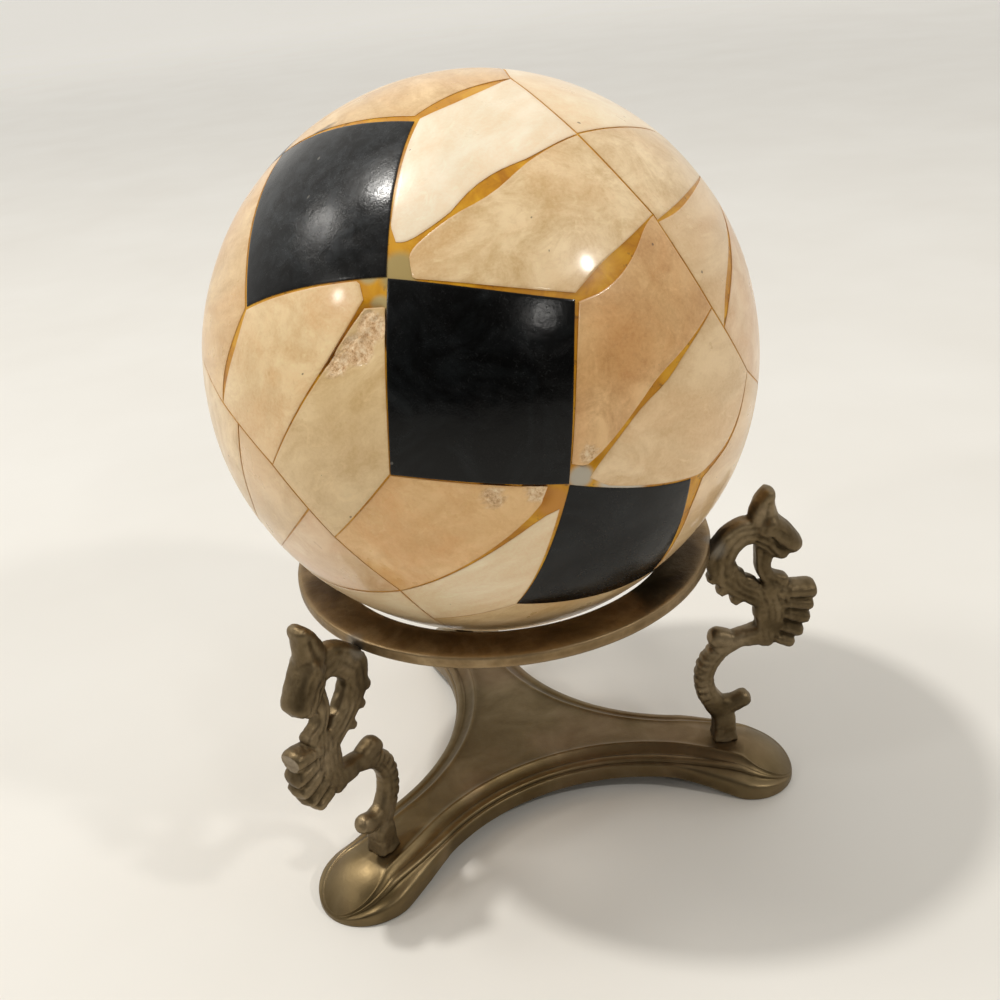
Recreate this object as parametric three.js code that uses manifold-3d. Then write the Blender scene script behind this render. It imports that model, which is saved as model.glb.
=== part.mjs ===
// Inlaid ball on a dragon stand: a ball set with bone and black horn tiles rests in a brass ring,
// which three openwork sea dragons carry on a three-armed foot. Millimetres, +Z up.
// The back arm points along +Y, and the origin is under the middle of the whole object.

import * as THREE from 'three';
import { mergeVertices } from 'three/addons/utils/BufferGeometryUtils.js';
import Module from 'manifold-3d';

const wasm = await Module();
wasm.setup();

// ---------------------------------------------------------------- driving dimensions
const FIT_GAP = 0.3; // between pieces that touch
const ARM_ANGLES = { back: 90, left: 210, right: 330 };
const DRAGON_TURNS = { back: 0, left: 2, right: 15 }; // of each dragon round its own post: the right one sits askew

const BALL_RADIUS = 50;
const TILE_THICKNESS = 2;
const TILE_JOINT = 0.7; // width of the resin joint between tiles
const TILE_STEPS = 3; // facets along a tile's side
const FACET_SAG = 0.45; // of a tile's flat facets below its round inner face
const POLE_TILT = 56.6; // degrees from upright to the axis that the tile pattern is laid round
const POLE_HEADING = -9.2;
const PATTERN_TURN = 229;
// Where the black squares meet corner to corner, in degrees round the axis: laid by hand, a little unevenly.
const SQUARE_CORNERS = [0, 47, 92, 137, 181, 225, 268, 310];
const SQUARE_HALF_HEIGHT = 21.6;
const BAND_TOP = 44;
const BAND_BOTTOM = -41.5;
// How far a few joints lean off the meridian on their way to the band's edge, by number round the ball.
const LEAN_ABOVE = { 0: -7, 1: -3, 2: 1.5, 3: 5, 15: -12 };
const LEAN_BELOW = { 0: 7.5, 1: 5, 2: 4.5, 3: 3, 15: 5 };

const RING_INNER_RADIUS = 32.5;
const RING_OUTER_RADIUS = 40.8;
const RING_TOP = 55.3;
const RING_THICKNESS = 2.6;
const RING_CHAMFER = 0.4;

const PLATE_TOP = 8.9;
const ARCH_HEIGHT = 3.1; // of the foot's underside off the floor between the toes
const HOLLOW_CENTRE = 60.2; // of the concave sides, from the stand's axis
const HOLLOW_RADIUS = 44;
const TOE_CENTRE = 47;
const TOE_RADIUS = 9.8;
const TOE_DROP_START = 40; // where an arm's top begins to turn down to the floor
const TOE_FLAT_START = 46; // where its underside reaches the floor
const ARCH_END = 33;
// The stepped moulding of the foot's sides, from the underside up: [set in from the outline, height].
const MOULDING = [[0, 6.3], [0.6, 6.7], [0.45, 7.2], [1.3, 7.9], [2.2, 8.1], [3.4, PLATE_TOP]];
const UNDERCUT = 0.8;

const PLATE_THICKNESS = 3.6; // of a dragon's flat body
const HEAD_THICKNESS = 5.2;
const FIN_THICKNESS = 5.2;
const POST_WIDTH = 5.2;
const POST_TOP = 14.8;
const POST_RADIUS = 42.8; // of the posts from the stand's axis
const FIN_REACH = 61; // of the fins from the stand's axis

// ---------------------------------------------------------------- shared helpers
const radians = THREE.MathUtils.degToRad;

function smoothStep(value, start, end) {
  return THREE.MathUtils.smoothstep(value, start, end);
}

function finish(color, roughness, metalness) {
  return new THREE.MeshStandardMaterial({ color, roughness, metalness });
}

function toSolid(geometry) {
  const bare = geometry.index ? geometry.toNonIndexed() : geometry.clone();
  bare.deleteAttribute('normal');
  bare.deleteAttribute('uv');
  const merged = mergeVertices(bare, 1e-4);
  return new wasm.Manifold(new wasm.Mesh({
    numProp: 3,
    vertProperties: new Float32Array(merged.attributes.position.array),
    triVerts: new Uint32Array(merged.index.array),
  }));
}

function toGeometry(solid) {
  const mesh = solid.getMesh();
  const geometry = new THREE.BufferGeometry();
  geometry.setAttribute('position', new THREE.BufferAttribute(new Float32Array(mesh.vertProperties), 3));
  geometry.setIndex(new THREE.BufferAttribute(new Uint32Array(mesh.triVerts), 1));
  geometry.computeVertexNormals();
  return geometry;
}

function fromFaces(positions, faces) {
  const geometry = new THREE.BufferGeometry();
  geometry.setAttribute('position', new THREE.Float32BufferAttribute(positions.flat(), 3));
  geometry.setIndex(faces.flat());
  geometry.computeVertexNormals();
  return geometry;
}

function addPiece(parent, name, geometry, material) {
  const piece = new THREE.Mesh(geometry, material.clone());
  piece.name = name;
  parent.add(piece);
  return piece;
}

// ---------------------------------------------------------------- foot
// Half an arm's outline, from the middle of its toe to the middle of the concave side, with its outward
// normals. The arm points along +X. A straight stretch joins the toe's circle to the hollow's.
function armOutline() {
  const hollow = new THREE.Vector2(HOLLOW_CENTRE, 0).rotateAround(new THREE.Vector2(), radians(60));
  const toe = new THREE.Vector2(TOE_CENTRE, 0);
  const between = hollow.clone().sub(toe);
  const tangent = between.angle() - Math.acos((HOLLOW_RADIUS + TOE_RADIUS) / between.length());
  const outline = [];
  const toeSteps = 7;
  for (let i = 0; i <= toeSteps; i++) {
    const normal = new THREE.Vector2(1, 0).rotateAround(new THREE.Vector2(), tangent * i / toeSteps);
    outline.push({ point: toe.clone().addScaledVector(normal, TOE_RADIUS), normal });
  }
  const hollowSteps = 5;
  const middle = radians(60);
  for (let i = 0; i <= hollowSteps; i++) {
    const angle = tangent + (middle - tangent) * i / hollowSteps;
    const normal = new THREE.Vector2(Math.cos(angle), Math.sin(angle));
    outline.push({ point: hollow.clone().addScaledVector(normal, -HOLLOW_RADIUS), normal });
  }
  return outline;
}

// A ring of points round the whole foot, set in from the outline and lifted to a height.
function footLevel(outline, inset, height) {
  const reach = TOE_CENTRE + TOE_RADIUS;
  const half = outline.map(({ point, normal }) => {
    const fade = THREE.MathUtils.lerp(0.25, 1, smoothStep(reach - point.x, 0.5, TOE_RADIUS));
    const at = point.clone().addScaledVector(normal, -inset * fade);
    const run = Math.max(0, at.x - TOE_DROP_START) / (reach + 0.1 - TOE_DROP_START);
    return new THREE.Vector3(at.x, at.y, height(at.x, Math.sqrt(1 - run * run)));
  });
  const level = [];
  for (let arm = 0; arm < 3; arm++) {
    const turn = radians(120 * arm);
    const axis = new THREE.Vector3(0, 0, 1);
    const last = half.length - 1;
    for (let i = last; i > 0; i--) {
      level.push(new THREE.Vector3(half[i].x, -half[i].y, half[i].z).applyAxisAngle(axis, turn));
    }
    for (let i = 0; i < last; i++) {
      level.push(half[i].clone().applyAxisAngle(axis, turn));
    }
  }
  return level.map((point) => point.toArray());
}

function footGeometry() {
  const outline = armOutline();
  const underside = (x) => ARCH_HEIGHT * (1 - smoothStep(x, ARCH_END, TOE_FLAT_START));
  const levels = [
    footLevel(outline, UNDERCUT, (x) => underside(x)),
    footLevel(outline, 0, (x, drop) => underside(x) + UNDERCUT * drop),
    ...MOULDING.map(([inset, top]) => footLevel(outline, inset, (x, drop) => top * drop)),
  ];
  const count = levels[0].length;
  const faces = [];
  for (let level = 0; level + 1 < levels.length; level++) {
    for (let i = 0; i < count; i++) {
      const here = level * count + i;
      const next = level * count + (i + 1) % count;
      faces.push([here, next, here + count], [next, next + count, here + count]);
    }
  }
  // Both faces are laid in strips from one side of an arm to the other, which leaves a middle triangle.
  const perArm = count / 3;
  const strips = perArm / 2;
  for (const [start, up] of [[0, false], [(levels.length - 1) * count, true]]) {
    const at = (i) => start + (i + count) % count;
    const middle = [0, perArm, 2 * perArm].map(at);
    faces.push(up ? middle : middle.reverse());
    for (let arm = 0; arm < 3; arm++) {
      const near = perArm * arm;
      const far = perArm * (arm + 1);
      for (let i = 0; i < strips; i++) {
        const strip = i + 1 < strips
          ? [[near + i, near + i + 1, far - i], [near + i + 1, far - i - 1, far - i]]
          : [[near + i, near + i + 1, far - i]];
        for (const face of strip) {
          faces.push(up ? face.map(at) : face.map(at).reverse());
        }
      }
    }
  }
  return fromFaces(levels.flat(), faces);
}

// ---------------------------------------------------------------- ring
function ringGeometry() {
  const low = RING_TOP - RING_THICKNESS;
  const profile = [
    [RING_INNER_RADIUS, low],
    [RING_OUTER_RADIUS - RING_CHAMFER, low],
    [RING_OUTER_RADIUS, low + RING_CHAMFER],
    [RING_OUTER_RADIUS, RING_TOP - RING_CHAMFER],
    [RING_OUTER_RADIUS - RING_CHAMFER, RING_TOP],
    [RING_INNER_RADIUS, RING_TOP],
    [RING_INNER_RADIUS, low],
  ].map(([x, y]) => new THREE.Vector2(x, y));
  return new THREE.LatheGeometry(profile, 48).rotateX(Math.PI / 2);
}

// ---------------------------------------------------------------- dragons
// A dragon is drawn in its own upright plane: distance from the stand's axis across, height up.
function plate(shape, thickness, curveSegments = 5) {
  const geometry = new THREE.ExtrudeGeometry(shape, { depth: thickness, bevelEnabled: false, curveSegments });
  return toSolid(geometry.translate(0, 0, -thickness / 2));
}

// A limb follows a smooth line through [across, up, half width] stations, and its ends are round.
function limb(stations, thickness, steps = 9) {
  const line = new THREE.CatmullRomCurve3(stations.map(([x, y]) => new THREE.Vector3(x, y, 0)));
  const left = [];
  const right = [];
  for (let i = 0; i <= steps; i++) {
    const along = i / steps * (stations.length - 1);
    const from = Math.min(Math.floor(along), stations.length - 2);
    const width = THREE.MathUtils.lerp(stations[from][2], stations[from + 1][2], along - from);
    const at = line.getPoint(i / steps);
    const way = line.getTangent(i / steps);
    left.push(new THREE.Vector2(at.x - way.y * width, at.y + way.x * width));
    right.push(new THREE.Vector2(at.x + way.y * width, at.y - way.x * width));
  }
  const ends = [0, steps].map((i) => left[i].clone().add(right[i]).multiplyScalar(0.5));
  const radii = [0, steps].map((i) => left[i].distanceTo(right[i]) / 2);
  const headings = [0, steps].map((i) => right[i].clone().sub(ends[i ? 1 : 0]).angle());
  const cap = (end, start) => [1, 2, 3].map((k) => {
    const angle = start + Math.PI * k / 4;
    return new THREE.Vector2(
      ends[end].x + radii[end] * Math.cos(angle), ends[end].y + radii[end] * Math.sin(angle));
  });
  const outline = [...right, ...cap(1, headings[1]), ...left.reverse(), ...cap(0, headings[0] + Math.PI)];
  return plate(new THREE.Shape(outline), thickness);
}

function lobe(across, up, radius, thickness) {
  return plate(new THREE.Shape().absarc(across, up, radius, 0, 2 * Math.PI), thickness, 6);
}

// Crest, brow, snout and lower jaw in profile.
function dragonHead() {
  const head = new THREE.Shape();
  head.moveTo(47.4, 58.8);
  head.quadraticCurveTo(48.4, 62.8, 51, 64.8);
  head.quadraticCurveTo(52.6, 65.6, 52.8, 63);
  head.quadraticCurveTo(53, 59.6, 55.2, 56.4);
  head.quadraticCurveTo(57.4, 54.2, 57.7, 52.6);
  head.quadraticCurveTo(57.6, 51.4, 56, 51.5);
  head.quadraticCurveTo(56, 49.8, 54.2, 49.8);
  head.quadraticCurveTo(52, 50.2, 50.4, 53.2);
  head.lineTo(47.6, 56);
  head.closePath();
  return plate(head, HEAD_THICKNESS, 4);
}

function dragonGeometry(turn) {
  const parts = [
    dragonHead(),
    // neck, arching from behind the head round the oval opening to the chest
    limb([[51, 55.8, 2.2], [46.8, 56.2, 2.6], [43.6, 53.6, 2.8], [42.7, 49.4, 2.6],
      [44.6, 45.2, 2.4], [48.4, 42.2, 1.9], [53, 40, 3.4]], PLATE_THICKNESS, 12),
    // throat
    limb([[52, 51.4, 1.5], [51.1, 49, 1.4], [51.3, 46.6, 1.4], [53, 43.6, 1.8]], PLATE_THICKNESS, 6),
    // chest and belly
    limb([[53, 42, 2.4], [53.6, 38.4, 4.4], [52.6, 34.8, 3.6], [48.6, 32.3, 1.7]], PLATE_THICKNESS, 8),
    lobe(51.9, 31.7, 2, PLATE_THICKNESS),
    // tail, curling under to its hooked tip
    limb([[48.6, 32.4, 1.7], [44.8, 31.2, 1.7], [41.6, 29, 1.8], [39.6, 25, 1.8], [39.4, 20.8, 1.8],
      [40.8, 17, 2], [43.2, 14.6, 2.1]], PLATE_THICKNESS, 13),
    lobe(42.2, 31.8, 2.2, PLATE_THICKNESS),
    limb([[42.8, 15.4, 2.2], [45.4, 15.6, 1.9], [47.2, 16.4, 1.6]], PLATE_THICKNESS, 4),
  ];
  // mane, stepping down behind the neck
  for (let step = 0; step < 3; step++) {
    parts.push(lobe(41.8 + 1.8 * step, 46.9 - 2.3 * step, 1.8, PLATE_THICKNESS));
  }
  // fin: rolled lobes, the top one the largest
  for (let roll = 0; roll < 5; roll++) {
    const radius = roll ? 1.55 : 2;
    const tip = FIN_REACH - 0.25 * roll * roll - radius;
    const up = 41.2 - 2.6 * roll;
    parts.push(limb([[tip - 2.6, up + 0.5, radius], [tip, up, radius]], FIN_THICKNESS, 1));
  }
  const postHeight = POST_TOP - PLATE_TOP - FIT_GAP;
  const post = new THREE.BoxGeometry(POST_WIDTH, postHeight, POST_WIDTH);
  post.translate(POST_RADIUS, PLATE_TOP + FIT_GAP + postHeight / 2, 0);
  parts.push(toSolid(post));
  const upright = toGeometry(parts.reduce((sum, part) => sum.add(part))).rotateX(Math.PI / 2);
  const turned = upright.translate(-POST_RADIUS, 0, 0).rotateZ(radians(turn)).translate(POST_RADIUS, 0, 0);
  // the edge against the ring is cut to the ring's curve
  const root = RING_OUTER_RADIUS + FIT_GAP;
  const ringSpace = new THREE.CylinderGeometry(root, root, 3 * RING_THICKNESS, 48).rotateX(Math.PI / 2);
  ringSpace.translate(0, 0, RING_TOP - RING_THICKNESS / 2);
  return toGeometry(toSolid(turned).subtract(toSolid(ringSpace)));
}

// ---------------------------------------------------------------- ball
// The ball is laid out round +Z by longitude and latitude in degrees, then turned as a whole.
function direction(longitude, latitude) {
  return new THREE.Vector3().setFromSphericalCoords(1, radians(90 - latitude), radians(longitude + 90))
    .applyAxisAngle(new THREE.Vector3(1, 0, 0), Math.PI / 2);
}

// The resin ball: full at both caps, and cut back under the band of tiles.
function ballBodyGeometry() {
  const seat = BALL_RADIUS - TILE_THICKNESS - FACET_SAG - FIT_GAP;
  const margin = 0.6;
  const profile = [];
  const sweep = (radius, from, to, steps) => {
    for (let i = 0; i <= steps; i++) {
      const angle = radians(THREE.MathUtils.lerp(from, to, i / steps));
      profile.push(new THREE.Vector2(Math.abs(radius * Math.cos(angle)), radius * Math.sin(angle)));
    }
  };
  sweep(BALL_RADIUS, -90, BAND_BOTTOM - margin, 5);
  sweep(seat, BAND_BOTTOM - margin, BAND_TOP + margin, 8);
  sweep(BALL_RADIUS, BAND_TOP + margin, 90, 5);
  profile[0].x = 0;
  profile[profile.length - 1].x = 0;
  return new THREE.LatheGeometry(profile, 36).rotateX(Math.PI / 2);
}

// A curved four-sided tile between corner directions, drawn in by half a joint all round.
function tileGeometry(corners) {
  const centre = corners.reduce((sum, corner) => sum.add(corner), new THREE.Vector3()).normalize();
  const drawnIn = corners.map((corner) => {
    const inward = centre.clone().sub(corner);
    return corner.clone().addScaledVector(inward, 0.75 * TILE_JOINT / BALL_RADIUS / inward.length());
  });
  const positions = [];
  const side = TILE_STEPS + 1;
  for (const radius of [BALL_RADIUS - TILE_THICKNESS, BALL_RADIUS]) {
    for (let row = 0; row < side; row++) {
      for (let column = 0; column < side; column++) {
        const low = drawnIn[0].clone().lerp(drawnIn[1], column / TILE_STEPS);
        const high = drawnIn[3].clone().lerp(drawnIn[2], column / TILE_STEPS);
        positions.push(low.lerp(high, row / TILE_STEPS).setLength(radius).toArray());
      }
    }
  }
  const outer = side * side;
  const faces = [];
  for (let row = 0; row < TILE_STEPS; row++) {
    for (let column = 0; column < TILE_STEPS; column++) {
      const a = row * side + column;
      const [b, c, d] = [a + 1, a + side + 1, a + side];
      faces.push([a, c, b], [a, d, c], [outer + a, outer + b, outer + c], [outer + a, outer + c, outer + d]);
    }
  }
  const rim = [];
  for (let i = 0; i < TILE_STEPS; i++) rim.push(i);
  for (let i = 0; i < TILE_STEPS; i++) rim.push(i * side + TILE_STEPS);
  for (let i = TILE_STEPS; i > 0; i--) rim.push(TILE_STEPS * side + i);
  for (let i = TILE_STEPS; i > 0; i--) rim.push(i * side);
  rim.forEach((here, i) => {
    const next = rim[(i + 1) % rim.length];
    faces.push([here, next, outer + next], [here, outer + next, outer + here]);
  });
  return fromFaces(positions, faces);
}

// Longitude of each half step round the ball: even numbers are the squares' touching corners, odd
// numbers their upper and lower corners.
function halfStepLongitude(step) {
  const square = Math.floor(step / 2);
  const here = SQUARE_CORNERS[square % 8] + 360 * Math.floor(square / 8);
  const next = SQUARE_CORNERS[(square + 1) % 8] + 360 * Math.floor((square + 1) / 8);
  return step % 2 ? (here + next) / 2 : here;
}

function ball() {
  const group = new THREE.Group();
  addPiece(group, 'ball_body', ballBodyGeometry(), finish(0xb8791e, 0.25, 0));
  const horn = finish(0x17171a, 0.2, 0);
  const bone = finish(0xdcbf96, 0.25, 0);
  const squareCorner = (step, side) => direction(halfStepLongitude(step), step % 2 ? side * SQUARE_HALF_HEIGHT : 0);
  const bandCorner = (step, side) => {
    const lean = side > 0 ? LEAN_ABOVE : LEAN_BELOW;
    return direction(halfStepLongitude(step) + (lean[step % 16] ?? 0), side > 0 ? BAND_TOP : BAND_BOTTOM);
  };
  for (let square = 0; square < 8; square++) {
    const [west, middle, east] = [2 * square, 2 * square + 1, 2 * square + 2];
    const corners = [squareCorner(west, 1), squareCorner(middle, -1), squareCorner(east, 1), squareCorner(middle, 1)];
    addPiece(group, `black_tile_${square + 1}`, tileGeometry(corners), horn);
  }
  for (let step = 0; step < 16; step++) {
    const number = String(step + 1).padStart(2, '0');
    const above = [squareCorner(step, 1), squareCorner(step + 1, 1), bandCorner(step + 1, 1), bandCorner(step, 1)];
    const below = [bandCorner(step, -1), bandCorner(step + 1, -1), squareCorner(step + 1, -1), squareCorner(step, -1)];
    addPiece(group, `upper_bone_tile_${number}`, tileGeometry(above), bone);
    addPiece(group, `lower_bone_tile_${number}`, tileGeometry(below), bone);
  }
  group.rotation.set(0, radians(POLE_TILT), 0);
  const spin = new THREE.Group();
  spin.add(...group.children);
  spin.rotation.z = radians(PATTERN_TURN);
  group.add(spin);
  const turned = new THREE.Group();
  turned.rotation.z = radians(POLE_HEADING);
  turned.add(group);
  // the ball sits on the ring's inner edge, a gap clear of it
  const rise = Math.sqrt((BALL_RADIUS + FIT_GAP) ** 2 - RING_INNER_RADIUS ** 2);
  turned.position.z = RING_TOP + rise;
  return turned;
}

// ---------------------------------------------------------------- the whole object
const brass = finish(0x7a6647, 0.42, 1);
const model = new THREE.Group();
const stand = new THREE.Group();
model.add(stand);

const foot = addPiece(stand, 'foot', footGeometry(), brass);
foot.rotation.z = radians(ARM_ANGLES.back);
addPiece(stand, 'ring', ringGeometry(), brass);
for (const [side, angle] of Object.entries(ARM_ANGLES)) {
  const dragon = addPiece(stand, `${side}_dragon`, dragonGeometry(DRAGON_TURNS[side]), brass);
  dragon.rotation.z = radians(angle);
}
stand.add(ball());

// the back dragon reaches further than the ball does in front, and the origin is midway between them
stand.position.y = (BALL_RADIUS - FIN_REACH) / 2;

export default model;
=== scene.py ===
"""Looks of the inlaid ball and its dragon stand: bone and horn tiles in amber resin, aged cast brass."""

import math

import bpy
import numpy as np
from mathutils import Matrix, Vector, noise


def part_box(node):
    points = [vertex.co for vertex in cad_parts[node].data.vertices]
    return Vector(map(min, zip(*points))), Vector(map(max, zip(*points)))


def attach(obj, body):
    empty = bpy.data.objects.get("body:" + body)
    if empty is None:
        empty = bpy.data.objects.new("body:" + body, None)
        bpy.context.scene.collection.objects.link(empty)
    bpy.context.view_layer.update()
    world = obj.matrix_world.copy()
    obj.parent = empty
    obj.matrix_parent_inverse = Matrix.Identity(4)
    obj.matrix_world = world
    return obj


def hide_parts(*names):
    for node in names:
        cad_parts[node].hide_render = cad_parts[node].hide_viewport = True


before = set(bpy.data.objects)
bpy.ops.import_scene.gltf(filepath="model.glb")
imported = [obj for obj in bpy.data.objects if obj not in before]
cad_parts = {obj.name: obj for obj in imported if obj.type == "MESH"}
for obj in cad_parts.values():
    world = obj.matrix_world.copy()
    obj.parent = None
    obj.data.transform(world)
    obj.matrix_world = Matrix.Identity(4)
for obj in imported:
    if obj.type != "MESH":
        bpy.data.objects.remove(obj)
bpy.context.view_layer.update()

MM = 0.001

# ---------------------------------------------------------------- places taken from the frame
ring_low, ring_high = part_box("ring")
foot_low, foot_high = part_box("foot")
RING_TOP = ring_high[2]
RING_THICKNESS = ring_high[2] - ring_low[2]
RING_OUTER = (ring_high[0] - ring_low[0]) / 2
RING_INNER = 32.5 * MM
AXIS = Vector(((ring_low[0] + ring_high[0]) / 2, (ring_low[1] + ring_high[1]) / 2, 0.0))
PLATE_TOP = foot_high[2]
ARM_ANGLES = {"back": 90, "left": 210, "right": 330}
DRAGON_TURNS = {"back": 0, "left": 2, "right": 15}

# ---------------------------------------------------------------- the ball's own sizes
BALL_RADIUS = 49.9 * MM
SEAT_RADIUS = 50.15 * MM  # of the ball with a little play, where it rests on the ring's inner edge
RESIN_RADIUS = 49.76 * MM
TILE_THICKNESS = 2.0 * MM
JOINT = 0.32 * MM
POLE_TILT = 56.6
POLE_HEADING = -9.2
PATTERN_TURN = 229.0
BALL_CENTRE = AXIS + Vector((0, 0, RING_TOP + math.sqrt(SEAT_RADIUS ** 2 - RING_INNER ** 2)))
PATTERN = np.array(
    Matrix.Rotation(math.radians(POLE_HEADING), 3, "Z")
    @ Matrix.Rotation(math.radians(POLE_TILT), 3, "Y")
    @ Matrix.Rotation(math.radians(PATTERN_TURN), 3, "Z")
)


# ---------------------------------------------------------------- modelling helpers
def deselect_all():
    if bpy.context.mode != "OBJECT":
        bpy.ops.object.mode_set(mode="OBJECT")
    bpy.ops.object.select_all(action="DESELECT")


def pick(*pieces):
    deselect_all()
    for piece in pieces:
        piece.select_set(True)
    bpy.context.view_layer.objects.active = pieces[0]


def named(name):
    piece = bpy.context.object
    piece.name = name
    piece.data.name = name
    return piece


def apply_modifier(piece, kind, **settings):
    modifier = piece.modifiers.new(kind.title(), kind)
    for key, value in settings.items():
        setattr(modifier, key, value)
    pick(piece)
    bpy.ops.object.modifier_apply(modifier=modifier.name)


def smooth_subdivide(piece, levels):
    apply_modifier(piece, "SUBSURF", levels=levels, render_levels=levels)


def points_of(piece):
    points = np.empty(len(piece.data.vertices) * 3)
    piece.data.vertices.foreach_get("co", points)
    return points.reshape(-1, 3)


def normals_of(piece):
    normals = np.empty(len(piece.data.vertices) * 3)
    piece.data.vertices.foreach_get("normal", normals)
    return normals.reshape(-1, 3)


def move_points(piece, points):
    piece.data.vertices.foreach_set("co", np.ascontiguousarray(points).ravel())
    piece.data.update()


def recalculate(piece):
    pick(piece)
    bpy.ops.object.mode_set(mode="EDIT")
    bpy.ops.mesh.select_all(action="SELECT")
    bpy.ops.mesh.remove_doubles(threshold=1e-6)
    bpy.ops.mesh.normals_make_consistent(inside=False)
    bpy.ops.object.mode_set(mode="OBJECT")


def smooth_shade(piece, angle=None):
    pick(piece)
    if angle is None:
        bpy.ops.object.shade_smooth()
    else:
        bpy.ops.object.shade_smooth_by_angle(angle=math.radians(angle))


def joined(name, pieces):
    pick(*pieces)
    bpy.ops.object.join()
    return named(name)


def copy_of(piece, name, matrix):
    twin = piece.copy()
    twin.data = piece.data.copy()
    twin.name = name
    twin.data.name = name
    bpy.context.collection.objects.link(twin)
    twin.data.transform(matrix)
    return twin


def store(piece, name, values):
    layer = piece.data.attributes.new(name, "FLOAT", "POINT")
    layer.data.foreach_set("value", np.ascontiguousarray(values, dtype=np.float32))


def fractal(points, size, octaves=3, seed=0.0):
    """Smooth noise from -1 to 1 at each point, with lumps about as large as size."""
    shift = Vector((seed * 7.31, seed * 3.17, seed * 5.77))
    return np.array([noise.fractal(Vector(p) / size + shift, 0.9, 2.0, octaves) for p in points])


def step(value, start, end):
    share = np.clip((value - start) / (end - start), 0, 1)
    return share * share * (3 - 2 * share)


def store_wear(piece, rounds=6, gain=1.0):
    """Stores where the surface stands proud (towards 1) and where it is hollow (towards 0)."""
    mesh = piece.data
    points = points_of(piece)
    edges = np.empty(len(mesh.edges) * 2, dtype=np.int64)
    mesh.edges.foreach_get("vertices", edges)
    a, b = edges.reshape(-1, 2).T
    ends = np.bincount(a, minlength=len(points)) + np.bincount(b, minlength=len(points))
    count = np.maximum(ends, 1)[:, None]
    spread = points.copy()
    for _ in range(rounds):
        total = np.zeros_like(spread)
        np.add.at(total, a, spread[b])
        np.add.at(total, b, spread[a])
        spread = total / count
    proud = ((points - spread) * normals_of(piece)).sum(1)
    store(piece, "wear", np.clip(0.5 + proud / MM * gain, 0, 1))


# ---------------------------------------------------------------- material helpers
def new_finish(name):
    material = bpy.data.materials.new(name)
    material.use_nodes = True
    tree = material.node_tree
    for node in list(tree.nodes):
        tree.nodes.remove(node)
    output = tree.nodes.new("ShaderNodeOutputMaterial")
    surface = tree.nodes.new("ShaderNodeBsdfPrincipled")
    tree.links.new(surface.outputs[0], output.inputs[0])
    return material, tree, surface


def add(tree, kind, inputs=None, **settings):
    node = tree.nodes.new("ShaderNode" + kind)
    for key, value in settings.items():
        setattr(node, key, value)
    for key, value in (inputs or {}).items():
        if isinstance(value, bpy.types.NodeSocket):
            tree.links.new(value, node.inputs[key])
        else:
            node.inputs[key].default_value = value
    return node


def object_place(tree):
    return add(tree, "TexCoord").outputs["Object"]


def cloud(tree, place, size, detail=3.0, roughness=0.55, distortion=0.0):
    """A soft noise whose patches are about size metres across."""
    inputs = {"Vector": place, "Scale": 1 / size, "Detail": detail, "Roughness": roughness}
    return add(tree, "TexNoise", {**inputs, "Distortion": distortion}).outputs[0]


def ramp(tree, value, *stops):
    node = add(tree, "ValToRGB", {0: value})
    elements = node.color_ramp.elements
    while len(elements) < len(stops):
        elements.new(0.5)
    for element, (position, colour) in zip(elements, stops):
        element.position = position
        element.color = (*colour, 1) if isinstance(colour, tuple) else (colour, colour, colour, 1)
    return node.outputs[0]


def blend(tree, share, first, second, mode="MIX"):
    node = add(tree, "Mix", data_type="RGBA", blend_type=mode)
    for key, value in ((0, share), (6, first), (7, second)):
        if isinstance(value, bpy.types.NodeSocket):
            tree.links.new(value, node.inputs[key])
        else:
            node.inputs[key].default_value = (*value, 1) if isinstance(value, tuple) else value
    return node.outputs[2]


def calc(tree, operation, *values):
    node = add(tree, "Math", operation=operation)
    for index, value in enumerate(values):
        if isinstance(value, bpy.types.NodeSocket):
            tree.links.new(value, node.inputs[index])
        else:
            node.inputs[index].default_value = value
    return node.outputs[0]


def times(tree, first, second):
    return calc(tree, "MULTIPLY", first, second)


def lighter(colour, share):
    return tuple(min(1.0, c * share) for c in colour)


def stored(tree, name):
    return add(tree, "Attribute", attribute_name=name).outputs["Fac"]


def near(tree, place, centre, radius, soft=0.5):
    """1 within radius of a point of the object, fading to 0 outside it."""
    distance = add(tree, "VectorMath", {0: place, 1: tuple(centre)}, operation="DISTANCE").outputs["Value"]
    inputs = {"Value": distance, "From Min": radius * (1 + soft), "From Max": radius * (1 - soft)}
    return add(tree, "MapRange", inputs, interpolation_type="SMOOTHSTEP").outputs[0]


def bump(tree, height, strength, distance, under=None):
    inputs = {"Height": height, "Strength": strength, "Distance": distance}
    if under is not None:
        inputs["Normal"] = under
    return add(tree, "Bump", inputs).outputs[0]


def wire(tree, surface, **sockets):
    for key, value in sockets.items():
        socket = surface.inputs[key.replace("_", " ")]
        if isinstance(value, bpy.types.NodeSocket):
            tree.links.new(value, socket)
        else:
            socket.default_value = (*value, 1) if isinstance(value, tuple) else value


# ---------------------------------------------------------------- ball: places on it
def direction(longitude, latitude):
    """Unit vectors for angles in degrees round the tile pattern's own pole."""
    lon, lat = np.radians(longitude), np.radians(latitude)
    local = np.stack([np.cos(lat) * np.cos(lon), np.cos(lat) * np.sin(lon), np.sin(lat)], -1)
    return local @ PATTERN.T


def on_ball(longitude, latitude):
    return Vector(direction(longitude, latitude) * BALL_RADIUS) + BALL_CENTRE


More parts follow.
